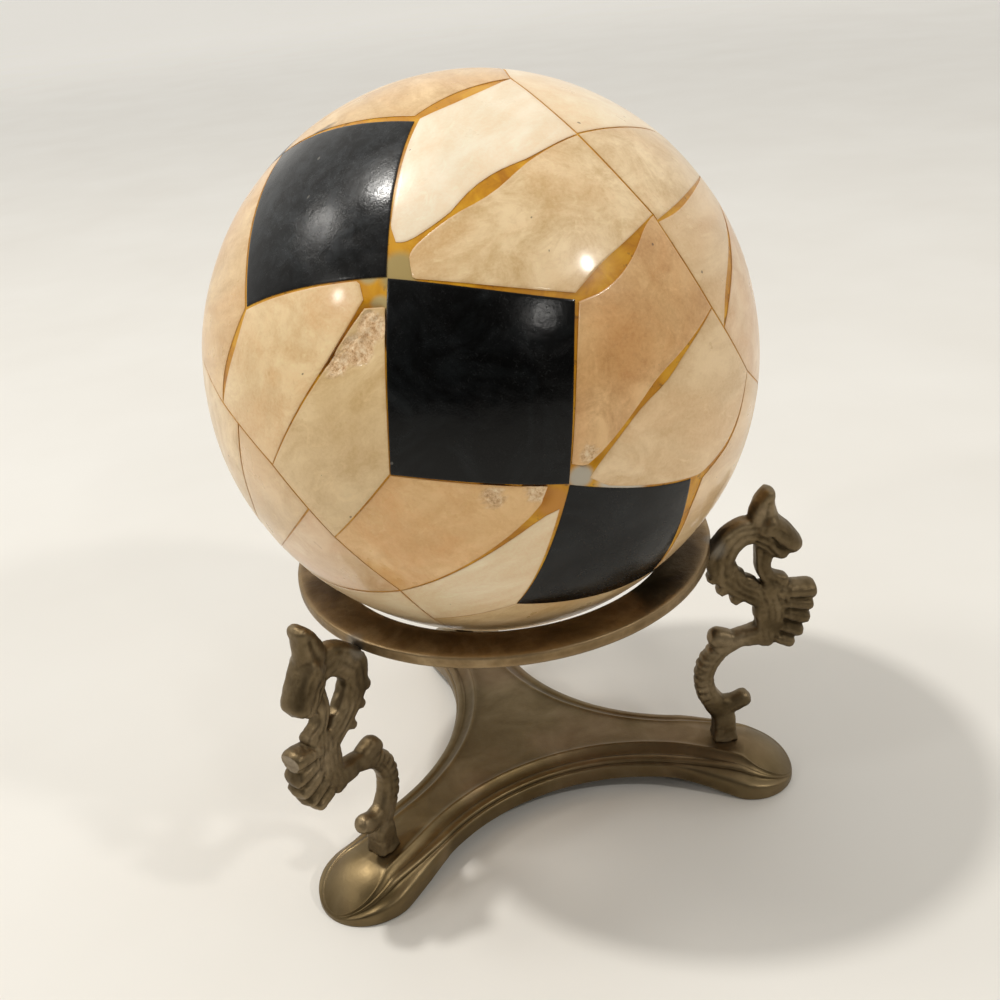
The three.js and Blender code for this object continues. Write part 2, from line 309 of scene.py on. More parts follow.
# ---------------------------------------------------------------- finishes of the ball
def bone_finish(name, light, dark, grain_turn=0.0, streaks=0.5, blush=0.0):
    """Lacquered bone: clouds, grain streaks, peach blushes, fine speckle, rough and pale where chipped."""
    material, tree, surface = new_finish(name)
    place = object_place(tree)
    turned = add(tree, "Mapping", {"Vector": place, "Rotation": (0.5, 0.35, grain_turn)}).outputs[0]
    along = add(tree, "Mapping", {"Vector": turned, "Scale": (1, 0.22, 1)}).outputs[0]
    middle = tuple((a + b) / 2 for a, b in zip(light, dark))
    clouds = cloud(tree, along, 6 * MM, 6, 0.66, 0.6)
    body = ramp(tree, clouds, (0.37, dark), (0.5, middle), (0.61, light))
    drift = ramp(tree, cloud(tree, turned, 16 * MM, 3, 0.5, 0.8), (0.4, 0.0), (0.66, 1.0))
    olive = (middle[0] * 0.84, middle[1] * 0.79, middle[2] * 0.7)
    drifted = blend(tree, times(tree, drift, 0.5), body, olive)
    peach = (middle[0] * 0.98, middle[1] * 0.76, middle[2] * 0.56)
    warmth = ramp(tree, cloud(tree, along, 10 * MM, 3, 0.5, 0.6), (0.44, 0.0), (0.68, 1.0))
    blushed = blend(tree, times(tree, warmth, 0.25 + blush), drifted, peach)
    grain = cloud(tree, along, 1.5 * MM, 5, 0.7, 0.5)
    streaky = times(tree, ramp(tree, grain, (0.5, 0.0), (0.68, 1.0)), streaks * 0.6)
    streaked = blend(tree, streaky, blushed, tuple(c * k for c, k in zip(dark, (0.84, 0.76, 0.66))))
    speckle = ramp(tree, cloud(tree, place, 0.5 * MM, 3, 0.7), (0.38, 0.0), (0.62, 1.0))
    speckled = blend(tree, times(tree, speckle, 0.16), streaked, lighter(light, 1.18))
    wisps = ramp(tree, cloud(tree, along, 3 * MM, 4, 0.6, 1.5), (0.6, 0.0), (0.74, 1.0))
    wispy = blend(tree, times(tree, wisps, 0.4), speckled, lighter(light, 1.12))
    pores = ramp(tree, cloud(tree, place, 1.3 * MM, 1, 0.3), (0.0, 1.0), (0.175, 1.0), (0.19, 0.0))
    pored = blend(tree, times(tree, pores, 0.75), wispy, (0.13, 0.08, 0.04))
    rim = ramp(tree, stored(tree, "rim"), (0.0, 1.0), (0.2, 0.4), (0.8, 0.0))
    rimmed = blend(tree, times(tree, rim, 0.3), pored, (0.5, 0.28, 0.1))
    chipped = stored(tree, "chipped")
    crumb = ramp(tree, cloud(tree, place, 0.9 * MM, 5, 0.8),
                 (0.36, (0.45, 0.24, 0.1)), (0.48, (0.78, 0.52, 0.28)), (0.62, (0.97, 0.76, 0.5)))
    stained = stored(tree, "stain")
    coloured = blend(tree, stained, blend(tree, chipped, rimmed, crumb), (0.05, 0.025, 0.012))
    polish = ramp(tree, cloud(tree, place, 7 * MM, 3), (0.3, 0.26), (0.75, 0.42))
    gloss = calc(tree, "ADD", polish, times(tree, chipped, 0.4))
    relief = bump(tree, grain, 0.12, 0.12 * MM)
    waves = bump(tree, cloud(tree, place, 9 * MM, 2), 0.3, 0.3 * MM, relief)
    crumbled = times(tree, cloud(tree, place, 0.7 * MM, 4, 0.8), chipped)
    rough_bone = bump(tree, crumbled, 0.6, 0.4 * MM, waves)
    lacquer = calc(tree, "MULTIPLY_ADD", chipped, -0.4, 0.4)
    wire(tree, surface, Base_Color=coloured, Roughness=gloss, Normal=rough_bone, IOR=1.5,
         Coat_Weight=lacquer, Coat_Roughness=0.12)
    return material


def horn_finish():
    """Polished black horn: near black, with smoky blue-grey clouds and slanting buffing scratches."""
    material, tree, surface = new_finish("black_horn")
    place = object_place(tree)
    turned = add(tree, "Mapping", {"Vector": place, "Rotation": (0.75, 0.3, 0.6)}).outputs[0]
    brushed = add(tree, "Mapping", {"Vector": turned, "Scale": (1, 0.06, 1)}).outputs[0]
    smoke = ramp(tree, cloud(tree, turned, 11 * MM, 6, 0.62, 1.6),
                 (0.46, (0.0015, 0.0015, 0.0015)), (0.62, (0.006, 0.007, 0.0075)), (0.8, (0.016, 0.019, 0.02)))
    scratches = ramp(tree, cloud(tree, brushed, 0.4 * MM, 4, 0.75), (0.56, 0.0), (0.74, 1.0))
    patches = ramp(tree, cloud(tree, turned, 9 * MM, 4, 0.6, 0.8), (0.45, 0.0), (0.65, 1.0))
    scuffs = times(tree, scratches, patches)
    # the square that faces up and to the left is the most rubbed: smoky, and streaked by buffing
    rubbed = near(tree, place, on_ball(-25, 2), 15 * MM, 0.4)
    haze = ramp(tree, cloud(tree, brushed, 2.4 * MM, 5, 0.7, 0.6), (0.42, 0.0), (0.66, 1.0))
    smoky = blend(tree, times(tree, times(tree, rubbed, haze), 0.5), smoke, (0.05, 0.056, 0.062))
    scuff_share = times(tree, scuffs, calc(tree, "MULTIPLY_ADD", rubbed, 0.3, 0.14))
    worn = blend(tree, scuff_share, smoky, (0.12, 0.13, 0.135))
    rim = ramp(tree, stored(tree, "rim"), (0.0, 1.0), (0.12, 0.0))
    edged = blend(tree, times(tree, rim, 0.4), worn, (0.06, 0.04, 0.02))
    nicks = ramp(tree, cloud(tree, place, 1.9 * MM, 1, 0.3), (0.0, 1.0), (0.16, 1.0), (0.175, 0.0))
    nicked = blend(tree, times(tree, nicks, 0.35), edged, (0.3, 0.28, 0.24))
    coloured = blend(tree, stored(tree, "chipped"), nicked, (0.42, 0.33, 0.2))
    gloss = calc(tree, "ADD", ramp(tree, patches, (0.0, 0.17), (1.0, 0.3)), times(tree, scratches, 0.16))
    scoring = calc(tree, "MULTIPLY_ADD", rubbed, 0.12, 0.1)
    scored = bump(tree, cloud(tree, brushed, 0.35 * MM, 3), scoring, 0.1 * MM)
    waves = bump(tree, cloud(tree, place, 8 * MM, 3), 0.35, 0.35 * MM, scored)
    wire(tree, surface, Base_Color=coloured, Roughness=gloss, Normal=waves, IOR=1.32)
    return material


def resin_finish():
    """Amber resin: honey yellow, with a few specks of dirt, and olive, white and orange fillers."""
    material, tree, surface = new_finish("amber_resin")
    place = object_place(tree)
    honey = ramp(tree, cloud(tree, place, 6 * MM, 4, 0.6, 0.8),
                 (0.34, (0.46, 0.18, 0.008)), (0.5, (0.6, 0.27, 0.01)), (0.66, (0.72, 0.37, 0.02)))
    dirt = ramp(tree, cloud(tree, place, 1.7 * MM, 3, 0.6), (0.62, 0.0), (0.7, 1.0))
    dirty = blend(tree, times(tree, dirt, 0.55), honey, (0.12, 0.055, 0.02))
    fillers = (
        ((0.6, 2.8), 2.9, (0.42, 0.31, 0.12)),
        ((3, -3.2), 1.6, (0.5, 0.38, 0.17)),
        ((-2.8, -1.2), 1.6, (0.5, 0.38, 0.17)),
        ((47.6, 3.8), 1.9, (0.5, 0.45, 0.36)),
        ((55, 8.5), 4.2, (0.62, 0.56, 0.46)),
        ((48, -2.6), 2.4, (0.6, 0.26, 0.04)),
    )
    coloured = dirty
    for (longitude, latitude), radius, colour in fillers:
        filled = near(tree, place, on_ball(longitude, latitude), radius * MM, 0.3)
        coloured = blend(tree, filled, coloured, colour)
    relief = bump(tree, cloud(tree, place, 1.6 * MM, 4, 0.6), 0.2, 0.15 * MM)
    wire(tree, surface, Base_Color=coloured, Roughness=0.32, Normal=relief, IOR=1.36)
    return material


# ---------------------------------------------------------------- ball: corners and joints of the tiling
# Angles in degrees round the pattern's pole. The band of squares meets corner to corner round the equator.
SQUARE_SIDES = [(0, 0.7), (47.2, 1.5), (92, 0), (137, 0), (181, 0), (225, 0), (268, 0), (309.4, -2.6)]
SQUARE_TOPS = [
    (23.2, 22.6), (69.5, 18.1), (115, 21.5), (159, 21.5), (203, 22), (246.5, 21.5), (289, 21.5), (334.4, 20.8),
]
SQUARE_LOWS = [
    (25.7, -21), (67.6, -22.5), (114, -21.5), (159, -21.5), (203, -22), (246.5, -21.5), (289, -22), (340.4, -23.8),
]
BAND_TOP = {0: (-7.1, 45), 1: (20.8, 46.4), 2: (48.4, 43.8), 3: (73.8, 42.3), 15: (323.3, 42.5)}
BAND_LOW = {
    0: (7.3, -41.5), 1: (30.2, -41.3), 2: (51.7, -39.6), 3: (68, -40.9), 14: (314.8, -44.9), 15: (343.4, -43.9),
}
DEFAULT_TOP = 44
DEFAULT_LOW = -41.5


def turned_to(longitude, reference):
    """The same longitude, given within half a turn of the reference."""
    return reference + (longitude - reference + 180) % 360 - 180


def half_step(number, side):
    """Corner number 0 to 15 of the zigzag along one side of the squares."""
    square, odd = divmod(number % 16, 2)
    return ((SQUARE_TOPS if side > 0 else SQUARE_LOWS) if odd else SQUARE_SIDES)[square]


def band_edge(number, side):
    known = BAND_TOP if side > 0 else BAND_LOW
    if number % 16 in known:
        return known[number % 16]
    return half_step(number, side)[0], DEFAULT_TOP if side > 0 else DEFAULT_LOW


def along(line, shares):
    """Points at these shares of the length of a line of (longitude, latitude) points."""
    line = np.array(line, dtype=float)
    for index in range(1, len(line)):
        line[index, 0] = turned_to(line[index, 0], line[index - 1, 0])
    steps = np.hypot(np.diff(line[:, 0]) * np.cos(np.radians(line[:-1, 1])), np.diff(line[:, 1]))
    length = np.concatenate([[0], np.cumsum(steps)])
    at = np.asarray(shares) * length[-1]
    return np.stack([np.interp(at, length, line[:, 0]), np.interp(at, length, line[:, 1])], -1)


def rounded_line(line, rounds=2):
    """The same line with its inner corners cut round, for a joint that was filed by eye."""
    for _ in range(rounds):
        cut = [line[0]]
        for (x0, y0), (x1, y1) in zip(line[:-1], line[1:]):
            cut.append((x0 * 0.75 + x1 * 0.25, y0 * 0.75 + y1 * 0.25))
            cut.append((x0 * 0.25 + x1 * 0.75, y0 * 0.25 + y1 * 0.75))
        cut.append(line[-1])
        line = cut
    return line


def unevenness(directions):
    """How far the hand-ground ball stands off a true sphere in these directions."""
    return 0.16 * MM * fractal(directions * BALL_RADIUS, 26 * MM, 2, 12.0)


# ---------------------------------------------------------------- ball: one tile
def make_tile(name, sides, seed, detail=26, joint=JOINT, lift=0.0, chips=(), stains=()):
    """A curved tile on the ball. sides are its bottom, right, top and left lines, running right or up."""
    bpy.ops.mesh.primitive_grid_add(x_subdivisions=detail, y_subdivisions=detail, size=2)
    tile = named(name)
    flat = points_of(tile)
    across, up = (flat[:, 0] + 1) / 2, (flat[:, 1] + 1) / 2
    bottom, right, top, left = sides
    corners = [np.array(along(line, [0.0, 1.0])) for line in (bottom, top)]
    reference = corners[0][0][0]
    for pair in corners:
        pair[:, 0] = turned_to(pair[:, 0], reference)
    ends = [direction(*along(line, [0.0, 1.0]).T) for line in sides]
    span = [np.linalg.norm(np.diff(pair, axis=0)) * BALL_RADIUS for pair in ends]
    wide, tall = max(span[0], span[2]), max(span[1], span[3])
    # rows crowd towards the rim, so that it can be rounded
    rows = np.linspace(0, 1, detail + 1)
    rows = rows - 0.12 * np.sin(2 * np.pi * rows)
    across = np.interp(across, np.linspace(0, 1, detail + 1), rows)
    up = np.interp(up, np.linspace(0, 1, detail + 1), rows)
    rim = np.minimum(np.minimum(across, 1 - across) * wide, np.minimum(up, 1 - up) * tall)
    inset_u, inset_v = joint / 2 / wide, joint / 2 / tall
    u = inset_u + across * (1 - 2 * inset_u)
    v = inset_v + up * (1 - 2 * inset_v)

    def vectors(line, shares):
        angles = along(line, shares)
        return direction(angles[:, 0], angles[:, 1])

    u_, v_ = u[:, None], v[:, None]
    south, north = vectors(bottom, u), vectors(top, u)
    west, east = vectors(left, v), vectors(right, v)
    sw, se = vectors(bottom, [0.0, 1.0])
    nw, ne = vectors(top, [0.0, 1.0])
    patch = (1 - v_) * south + v_ * north + (1 - u_) * west + u_ * east
    patch -= (1 - u_) * (1 - v_) * sw + u_ * (1 - v_) * se + (1 - u_) * v_ * nw + u_ * v_ * ne
    patch /= np.linalg.norm(patch, axis=1, keepdims=True)
    # each tile is laid and ground by hand: a little tilt, a slightly flat middle, soft waves
    chance = np.random.default_rng(seed)
    tilt_u, tilt_v, flatness = chance.uniform(-0.025, 0.025, 3) * MM
    radius = BALL_RADIUS + lift + tilt_u * (2 * u - 1) + tilt_v * (2 * v - 1)
    radius += flatness * ((2 * u - 1) ** 2 + (2 * v - 1) ** 2 - 0.7) * 0.6
    radius += 0.02 * MM * fractal(patch * BALL_RADIUS, 8 * MM, 2, seed) + unevenness(patch)
    radius -= 0.045 * MM * (1 - step(rim, 0, 0.25 * MM)) ** 2
    chipped = np.zeros(len(patch))
    for (longitude, latitude), size, depth in chips:
        away = np.linalg.norm(patch - direction(longitude, latitude), axis=1) * BALL_RADIUS
        ragged = away + 0.22 * size * MM * fractal(patch * BALL_RADIUS, 1.8 * MM, 3, seed + 5)
        chipped = np.maximum(chipped, 1 - step(ragged, 0.75 * size * MM, 1.05 * size * MM))
        pitted = depth * MM * (0.7 + 0.6 * fractal(patch * BALL_RADIUS, 1.2 * MM, 4, seed + 9))
        radius -= pitted * (1 - step(ragged, 0.6 * size * MM, 1.1 * size * MM))
    stained = np.zeros(len(patch))
    for (longitude, latitude), size, strength in stains:
        away = np.linalg.norm(patch - direction(longitude, latitude), axis=1) * BALL_RADIUS
        stained = np.maximum(stained, strength * (1 - step(away, 0.5 * size * MM, size * MM)))
    move_points(tile, patch * radius[:, None])
    if normals_of(tile)[len(patch) // 2] @ patch[len(patch) // 2] < 0:
        tile.data.flip_normals()
    store(tile, "rim", np.clip(rim / (1.6 * MM), 0, 1))
    store(tile, "chipped", chipped)
    store(tile, "stain", stained)
    apply_modifier(tile, "SOLIDIFY", thickness=TILE_THICKNESS, offset=-1)
    tile.data.transform(Matrix.Translation(BALL_CENTRE))
    smooth_shade(tile, 50)
    return tile


# Lines of the joints that aren't plain: each as (upper or left tile's edge, lower or right tile's edge).
CREAM_RIGHT = [
    (-3.9, 5.2), (-2.6, 6.6), (-2.1, 10), (-2.25, 16), (-3.3, 18), (-4.5, 22.7), (-4.9, 28), (-4.4, 32.8), (-7.1, 45),
]
TAN_LEFT = [
    (0.9, 4.9), (-1.2, 6.1), (-1.7, 10), (-1.95, 16.5), (-1.4, 20.7), (-1.8, 25), (-3.1, 29), (-4.4, 32.8), (-7.1, 45),
]
TAN_RIGHT = [(22.5, 23.3), (21.4, 31), (21.4, 38), (21.1, 43), (20.8, 46.4)]
PEACH_LEFT = [(23.7, 22.8), (25.5, 27.7), (25.5, 33), (24, 38), (21.3, 43), (20.8, 46.4)]
PEACH_RIGHT = [(46.1, 5.2), (47.2, 7), (45.6, 20.9), (45.2, 25.6), (46.6, 32.4), (48.4, 43.8)]
PALE_LEFT = [(48.9, 4.6), (47.8, 8), (46.4, 17), (46.4, 21), (47.4, 26.5), (47.1, 32), (48.4, 43.8)]
PALE_RIGHT = [(70.6, 19.3), (72.3, 21), (76.9, 31), (73.8, 42.3)]
LIMB_LEFT = [(73.1, 19.8), (73.6, 21.5), (77.5, 31), (73.8, 42.3)]
TOP_WEDGE_RIGHT = [(-27.2, 21.4), (-31, 30), (-33.4, 36), (-36.7, 42.5)]
CREAM_LEFT = [(-25.9, 21.8), (-27.2, 30), (-31, 37), (-36.7, 42.5)]
SIDE_RIGHT = [(-16.6, -43.9), (-18.6, -38), (-19.1, -31), (-19.8, -24.2)]
CHIP_TILE_LEFT = [(-16.6, -43.9), (-17, -36), (-17.4, -31), (-19.4, -24.2)]
UNDER_HORN_RIGHT = [(7.3, -41.5), (4.4, -24), (3.6, -18), (1.8, -10), (0.2, -4.6)]
LEFT_OF_HORN_LEFT = [(7.3, -41.5), (4.5, -24), (3.8, -18), (2, -10), (1.2, -5.4)]
BELOW_HORN_RIGHT = [(51.7, -39.6), (48.1, -6), (44.8, -1.2)]
CREAM_LOW_LEFT = [(51.7, -39.6), (48.8, -7), (49.9, -2.4)]

SPECIAL_SIDES = {
    # (row, number): {side: line}
    (1, 15): {"right": CREAM_RIGHT, "left": CREAM_LEFT, "inner": [(-25.8, 21.2), (-7, 6.15), (-3.9, 5.0)]},
    (1, 0): {"left": TAN_LEFT, "right": TAN_RIGHT, "inner": [(0.9, 4.7), (3.2, 3.75), (23, 22.5)]},
    (1, 1): {"left": PEACH_LEFT, "right": PEACH_RIGHT, "inner": [(23.35, 22.4), (44.3, 3.95), (46.4, 4.6)]},
    (1, 2): {"left": PALE_LEFT, "right": PALE_RIGHT, "inner": [(48.8, 4.0), (53, 6.0), (69.6, 18.4)]},
    (1, 3): {"left": LIMB_LEFT, "inner": [(73.4, 19.4), (77, 14.4), (92, 0.3)]},
    (1, 14): {"right": TOP_WEDGE_RIGHT},
    (-1, 14): {"right": SIDE_RIGHT, "left": [(-45.2, -44.9), (-47.6, -31), (-50.6, -2.6)]},
    (-1, 15): {
        "left": CHIP_TILE_LEFT, "right": UNDER_HORN_RIGHT, "inner": [(-19.5, -24.0), (-3, -3.15), (0.2, -4.2)],
    },
    (-1, 0): {"left": LEFT_OF_HORN_LEFT, "inner": [(1.2, -5.4), (3.6, -2.4), (25.6, -20.9)]},
    (-1, 1): {"right": BELOW_HORN_RIGHT},
    (-1, 2): {"left": CREAM_LOW_LEFT},
}

CHIPS = {
    (-1, 0): [((4.6, -6.5), 2.5, 0.35), ((5.6, -11), 2.6, 0.4), ((4.6, -15.5), 2.1, 0.35)],
    (-1, 1): [((40, -9.5), 1.9, 0.12), ((44.3, -3.6), 1.8, 0.16)],
    (1, 1): [((45.3, 7.4), 1.5, 0.3)],
}

STAINS = {
    (1, 14): [((-41.4, 7.4), 1.5, 0.75), ((-43, 5.2), 0.9, 0.8)],
}

TILE_TONES = {
    (1, 15): "cream", (1, 0): "tan", (1, 1): "peach", (1, 2): "pale", (1, 3): "pale", (1, 14): "honey",
    (-1, 15): "warm", (-1, 0): "beige", (-1, 1): "rose", (-1, 2): "ivory", (-1, 3): "tan", (-1, 14): "honey",
}


def bone_tones():
    return {
        "cream": bone_finish("bone_cream", (1.0, 0.89, 0.69), (0.93, 0.73, 0.49), 0.9, 0.15),
        "tan": bone_finish("bone_tan", (0.95, 0.72, 0.43), (0.66, 0.43, 0.19), 2.3, 0.4, 0.0),
        "peach": bone_finish("bone_peach", (0.9, 0.58, 0.27), (0.6, 0.31, 0.11), 2.7, 0.6, 0.2),
        "pale": bone_finish("bone_pale", (0.92, 0.68, 0.4), (0.7, 0.46, 0.22), 0.7, 0.25),
        "shell": bone_finish("bone_shell", (0.92, 0.68, 0.43), (0.72, 0.45, 0.23), 1.6, 0.3, 0.15),
        "honey": bone_finish("bone_honey", (0.92, 0.66, 0.35), (0.62, 0.38, 0.15), 0.2, 0.45, 0.15),
        "warm": bone_finish("bone_warm", (0.97, 0.74, 0.43), (0.76, 0.49, 0.23), 0.6, 0.4, 0.1),
        "beige": bone_finish("bone_beige", (0.9, 0.67, 0.37), (0.68, 0.45, 0.2), 1.9, 0.3, 0.0),
        "rose": bone_finish("bone_rose", (0.97, 0.63, 0.29), (0.75, 0.41, 0.14), 0.8, 0.4, 0.2),
        "ivory": bone_finish("bone_ivory", (1.0, 0.83, 0.57), (0.88, 0.64, 0.38), 2.0, 0.2),
    }


def band_tile_sides(row, number):
    """Bottom, right, top and left of a bone tile between the squares and the band's edge."""
    special = SPECIAL_SIDES.get((row, number), {})
    inner = special.get("inner", [half_step(number, row), half_step(number + 1, row)])
    outer = [band_edge(number, row), band_edge(number + 1, row)]
    low, high = (inner, outer) if row > 0 else (outer, inner)
    left = rounded_line(special["left"]) if "left" in special else [low[0], high[0]]
    right = rounded_line(special["right"]) if "right" in special else [low[-1], high[-1]]
    bottom = [left[0], *low[1:-1], right[0]]
    top = [left[-1], *high[1:-1], right[-1]]
    return bottom, right, top, left


# ---------------------------------------------------------------- ball: caps
UPPER_CAP_JOINTS = [
    [(-7.3, 45), (-7.9, 50), (-9, 57), (-12, 65), (-22, 75), (-22, 88.7)],
    [(22.8, 46.3), (24.5, 52), (24.8, 57), (24.1, 69), (23.5, 88.7)],
    [(55.4, 43.7), (53.6, 52), (53.2, 58), (52, 64), (51, 88.7)],
    [(101, 44), (99, 60), (98, 88.7)],
    [(146, 44), (147, 60), (147, 88.7)],
    [(190, 44), (192, 60), (193, 88.7)],
    [(236, 44), (237, 60), (238, 88.7)],
    [(283, 44), (284, 60), (285, 88.7)],
]
# Where resin fills a wider gap: the line of the tile before the joint.
UPPER_CAP_GAPS = {
    1: [(22.8, 46.3), (23.2, 52), (23.3, 57), (23.1, 69), (23.5, 88.7)],
    2: [(55.4, 43.7), (51.3, 50), (50.5, 58), (50.6, 64), (51, 88.7)],
}
LOWER_CAP_JOINTS = [
    [(-7.6, -42.9), (-1.3, -54.5), (6.5, -63), (12, -88.7)],
    [(21, -41.4), (23.5, -55), (27, -69), (40, -88.7)],
    [(51.7, -39.6), (51.4, -55), (51.2, -63), (52, -88.7)],
    [(97, -41.5), (98, -60), (99, -88.7)],
    [(143, -41.5), (144, -60), (145, -88.7)],
    [(188, -41.5), (189, -60), (190, -88.7)],
    [(235, -41.5), (236, -60), (237, -88.7)],
    [(290, -43.5), (291, -60), (300, -88.7)],
]


def edge_between(start, end, row):
    """The band's edge from one longitude to another, through the joints' ends that lie between."""
    corners = []
    for turn in (-1, 0, 1):
        for number in range(16):
            longitude, latitude = band_edge(number, row)
            corners.append((turned_to(longitude, 180) + 360 * turn, latitude))
    corners.sort()
    longitudes = [c[0] for c in corners]
    latitudes = [c[1] for c in corners]
    middle = [c for c in corners if start + 0.4 < c[0] < end - 0.4]
    ends = [(x, float(np.interp(x, longitudes, latitudes))) for x in (start, end)]
    return [ends[0], *middle, ends[1]]


def cap_tile_sides(joints, number, row):
    after = (number + 1) % len(joints)
    left, right = joints[number], joints[after]
    if row > 0:
        right = UPPER_CAP_GAPS.get(after, right)
    start = left[0][0]
    end = start + (right[0][0] - start) % 360
    edge = edge_between(start, end, row)
    left = [edge[0], *left[1:]]
    right = [edge[-1], *[(turned_to(x, edge[-1][0]), y) for x, y in right[1:]]]
    tip = [left[-1], (turned_to(right[-1][0], left[-1][0]), right[-1][1])]
    left, right = rounded_line(left), rounded_line(right)
    if row > 0:
        return edge, right, tip, left
    return tip, right[::-1], edge, left[::-1]


# ---------------------------------------------------------------- ball: assembly
def make_ball():
    pieces = []
    resin = resin_finish()
    horn = horn_finish()
    tones = bone_tones()
    bpy.ops.mesh.primitive_ico_sphere_add(subdivisions=7, radius=RESIN_RADIUS)
    body = named("resin_ball")
    points = points_of(body)
    heights = 1 + 0.0003 * fractal(points, 6 * MM, 2, 3.0) + unevenness(points / RESIN_RADIUS) / RESIN_RADIUS
    for chips in CHIPS.values():
        for place, size, _ in chips:
            away = np.linalg.norm(points - direction(*place) * RESIN_RADIUS, axis=1)
            heights -= 0.018 * (1 - step(away, size * MM, 1.5 * size * MM))
    move_points(body, points * heights[:, None])
    body.data.transform(Matrix.Translation(BALL_CENTRE))
    smooth_shade(body)
    body.data.materials.append(resin)
    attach(body, "root")
    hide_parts("ball_body")
    pieces.append(body)

    def lay(tile, node, material):
        tile.data.materials.append(material)
        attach(tile, "root")
        if node:
            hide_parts(node)
        pieces.append(tile)

    for square in range(8):
        west, east = SQUARE_SIDES[square], SQUARE_SIDES[(square + 1) % 8]
        top, low = SQUARE_TOPS[square], SQUARE_LOWS[square]
        sides = [west, low], [low, east], [top, east], [west, top]
        tile = make_tile(f"horn_square_{square + 1}", sides, 40 + square, detail=32, joint=0.2 * MM)
        lay(tile, f"black_tile_{square + 1}", horn)
    cycle = ["tan", "beige", "shell", "pale", "peach", "cream", "honey", "rose", "warm"]
    for row, word, prefix in ((1, "upper", "upper_bone_tile"), (-1, "lower", "lower_bone_tile")):
        for number in range(16):
            key = (row, number)
            tone = TILE_TONES.get(key, cycle[(number * 5 + (row > 0)) % len(cycle)])
            detail = 64 if key == (-1, 0) else 40 if key in CHIPS else 28
            sides, seed = band_tile_sides(row, number), 60 + number + 20 * row
            tile = make_tile(f"{word}_bone_{number + 1:02d}", sides, seed, detail,
                             chips=CHIPS.get(key, ()), stains=STAINS.get(key, ()))
            lay(tile, f"{prefix}_{number + 1:02d}", tones[tone])
    for row, word, joints in ((1, "upper", UPPER_CAP_JOINTS), (-1, "lower", LOWER_CAP_JOINTS)):
        for number in range(len(joints)):
            tone = ("tan", "pale", "shell", "ivory")[(number + (row < 0)) % 4]
            sides = cap_tile_sides(joints, number, row)
            tile = make_tile(f"{word}_cap_bone_{number + 1}", sides, 120 + number + 10 * row, detail=34)
            lay(tile, None, tones[tone])
    return pieces


# ---------------------------------------------------------------- brass
def brass_finish(name, dark, mid, light, gloss=(0.34, 0.5), pits=0.3, stain=0.0, worn=0.35, solder=0.0):
    """Aged cast brass: brown and olive patina in the hollows, paler and smoother where it is worn."""
    material, tree, surface = new_finish(name)
    place = object_place(tree)
    patches = cloud(tree, place, 11 * MM, 4, 0.55, 0.5)
    metal = ramp(tree, patches, (0.36, dark), (0.52, mid), (0.7, light))
    mottle = ramp(tree, cloud(tree, place, 1.4 * MM, 4, 0.65), (0.4, 0.0), (0.66, 1.0))
    mottled = blend(tree, times(tree, mottle, 0.45 * pits), metal, tuple(c * 0.5 for c in mid))
    wear = stored(tree, "wear")
    hollow = ramp(tree, wear, (0.28, 1.0), (0.5, 0.0))
    grimy = blend(tree, times(tree, hollow, 0.6), mottled, tuple(c * 0.4 for c in dark))
    proud = ramp(tree, wear, (0.53, 0.0), (0.85, 1.0))
    rubbed = blend(tree, times(tree, proud, worn), grimy, lighter(light, 1.4))
    if stain:
        reddish = ramp(tree, cloud(tree, place, 22 * MM, 2), (0.5, 0.0), (0.66, 1.0))
        rubbed = blend(tree, times(tree, reddish, stain), rubbed, (0.17, 0.085, 0.05))
    if solder:
        # grey solder round the joints of ring and dragons
        for angle in ARM_ANGLES.values():
            way = Vector((math.cos(math.radians(angle)), math.sin(math.radians(angle)), 0))
            centre = AXIS + way * (RING_OUTER + 0.6 * MM) + Vector((0, 0, RING_TOP - 1.2 * MM))
            joint = near(tree, place, centre, solder * MM, 0.35)
            rubbed = blend(tree, times(tree, joint, 0.65), rubbed, (0.24, 0.225, 0.2))
        pale = blend(tree, mottle, (0.36, 0.3, 0.22), (0.24, 0.19, 0.13))
        rubbed = blend(tree, times(tree, stored(tree, "sawn"), 0.7), rubbed, pale)
    rough = add(tree, "MapRange", {"Value": cloud(tree, place, 3 * MM, 4), "From Min": 0.3, "From Max": 0.7,
                                   "To Min": gloss[0], "To Max": gloss[1]}).outputs[0]
    duller = calc(tree, "ADD", rough, times(tree, hollow, 0.2))
    grain = bump(tree, cloud(tree, place, 0.45 * MM, 4, 0.7), 0.2 * pits + 0.03, 0.25 * MM)
    dimpled = bump(tree, cloud(tree, place, 1.5 * MM, 3, 0.6), 0.35 * pits, 0.35 * MM, grain)
    wire(tree, surface, Base_Color=rubbed, Roughness=duller, Normal=dimpled, Metallic=1.0)
    return material


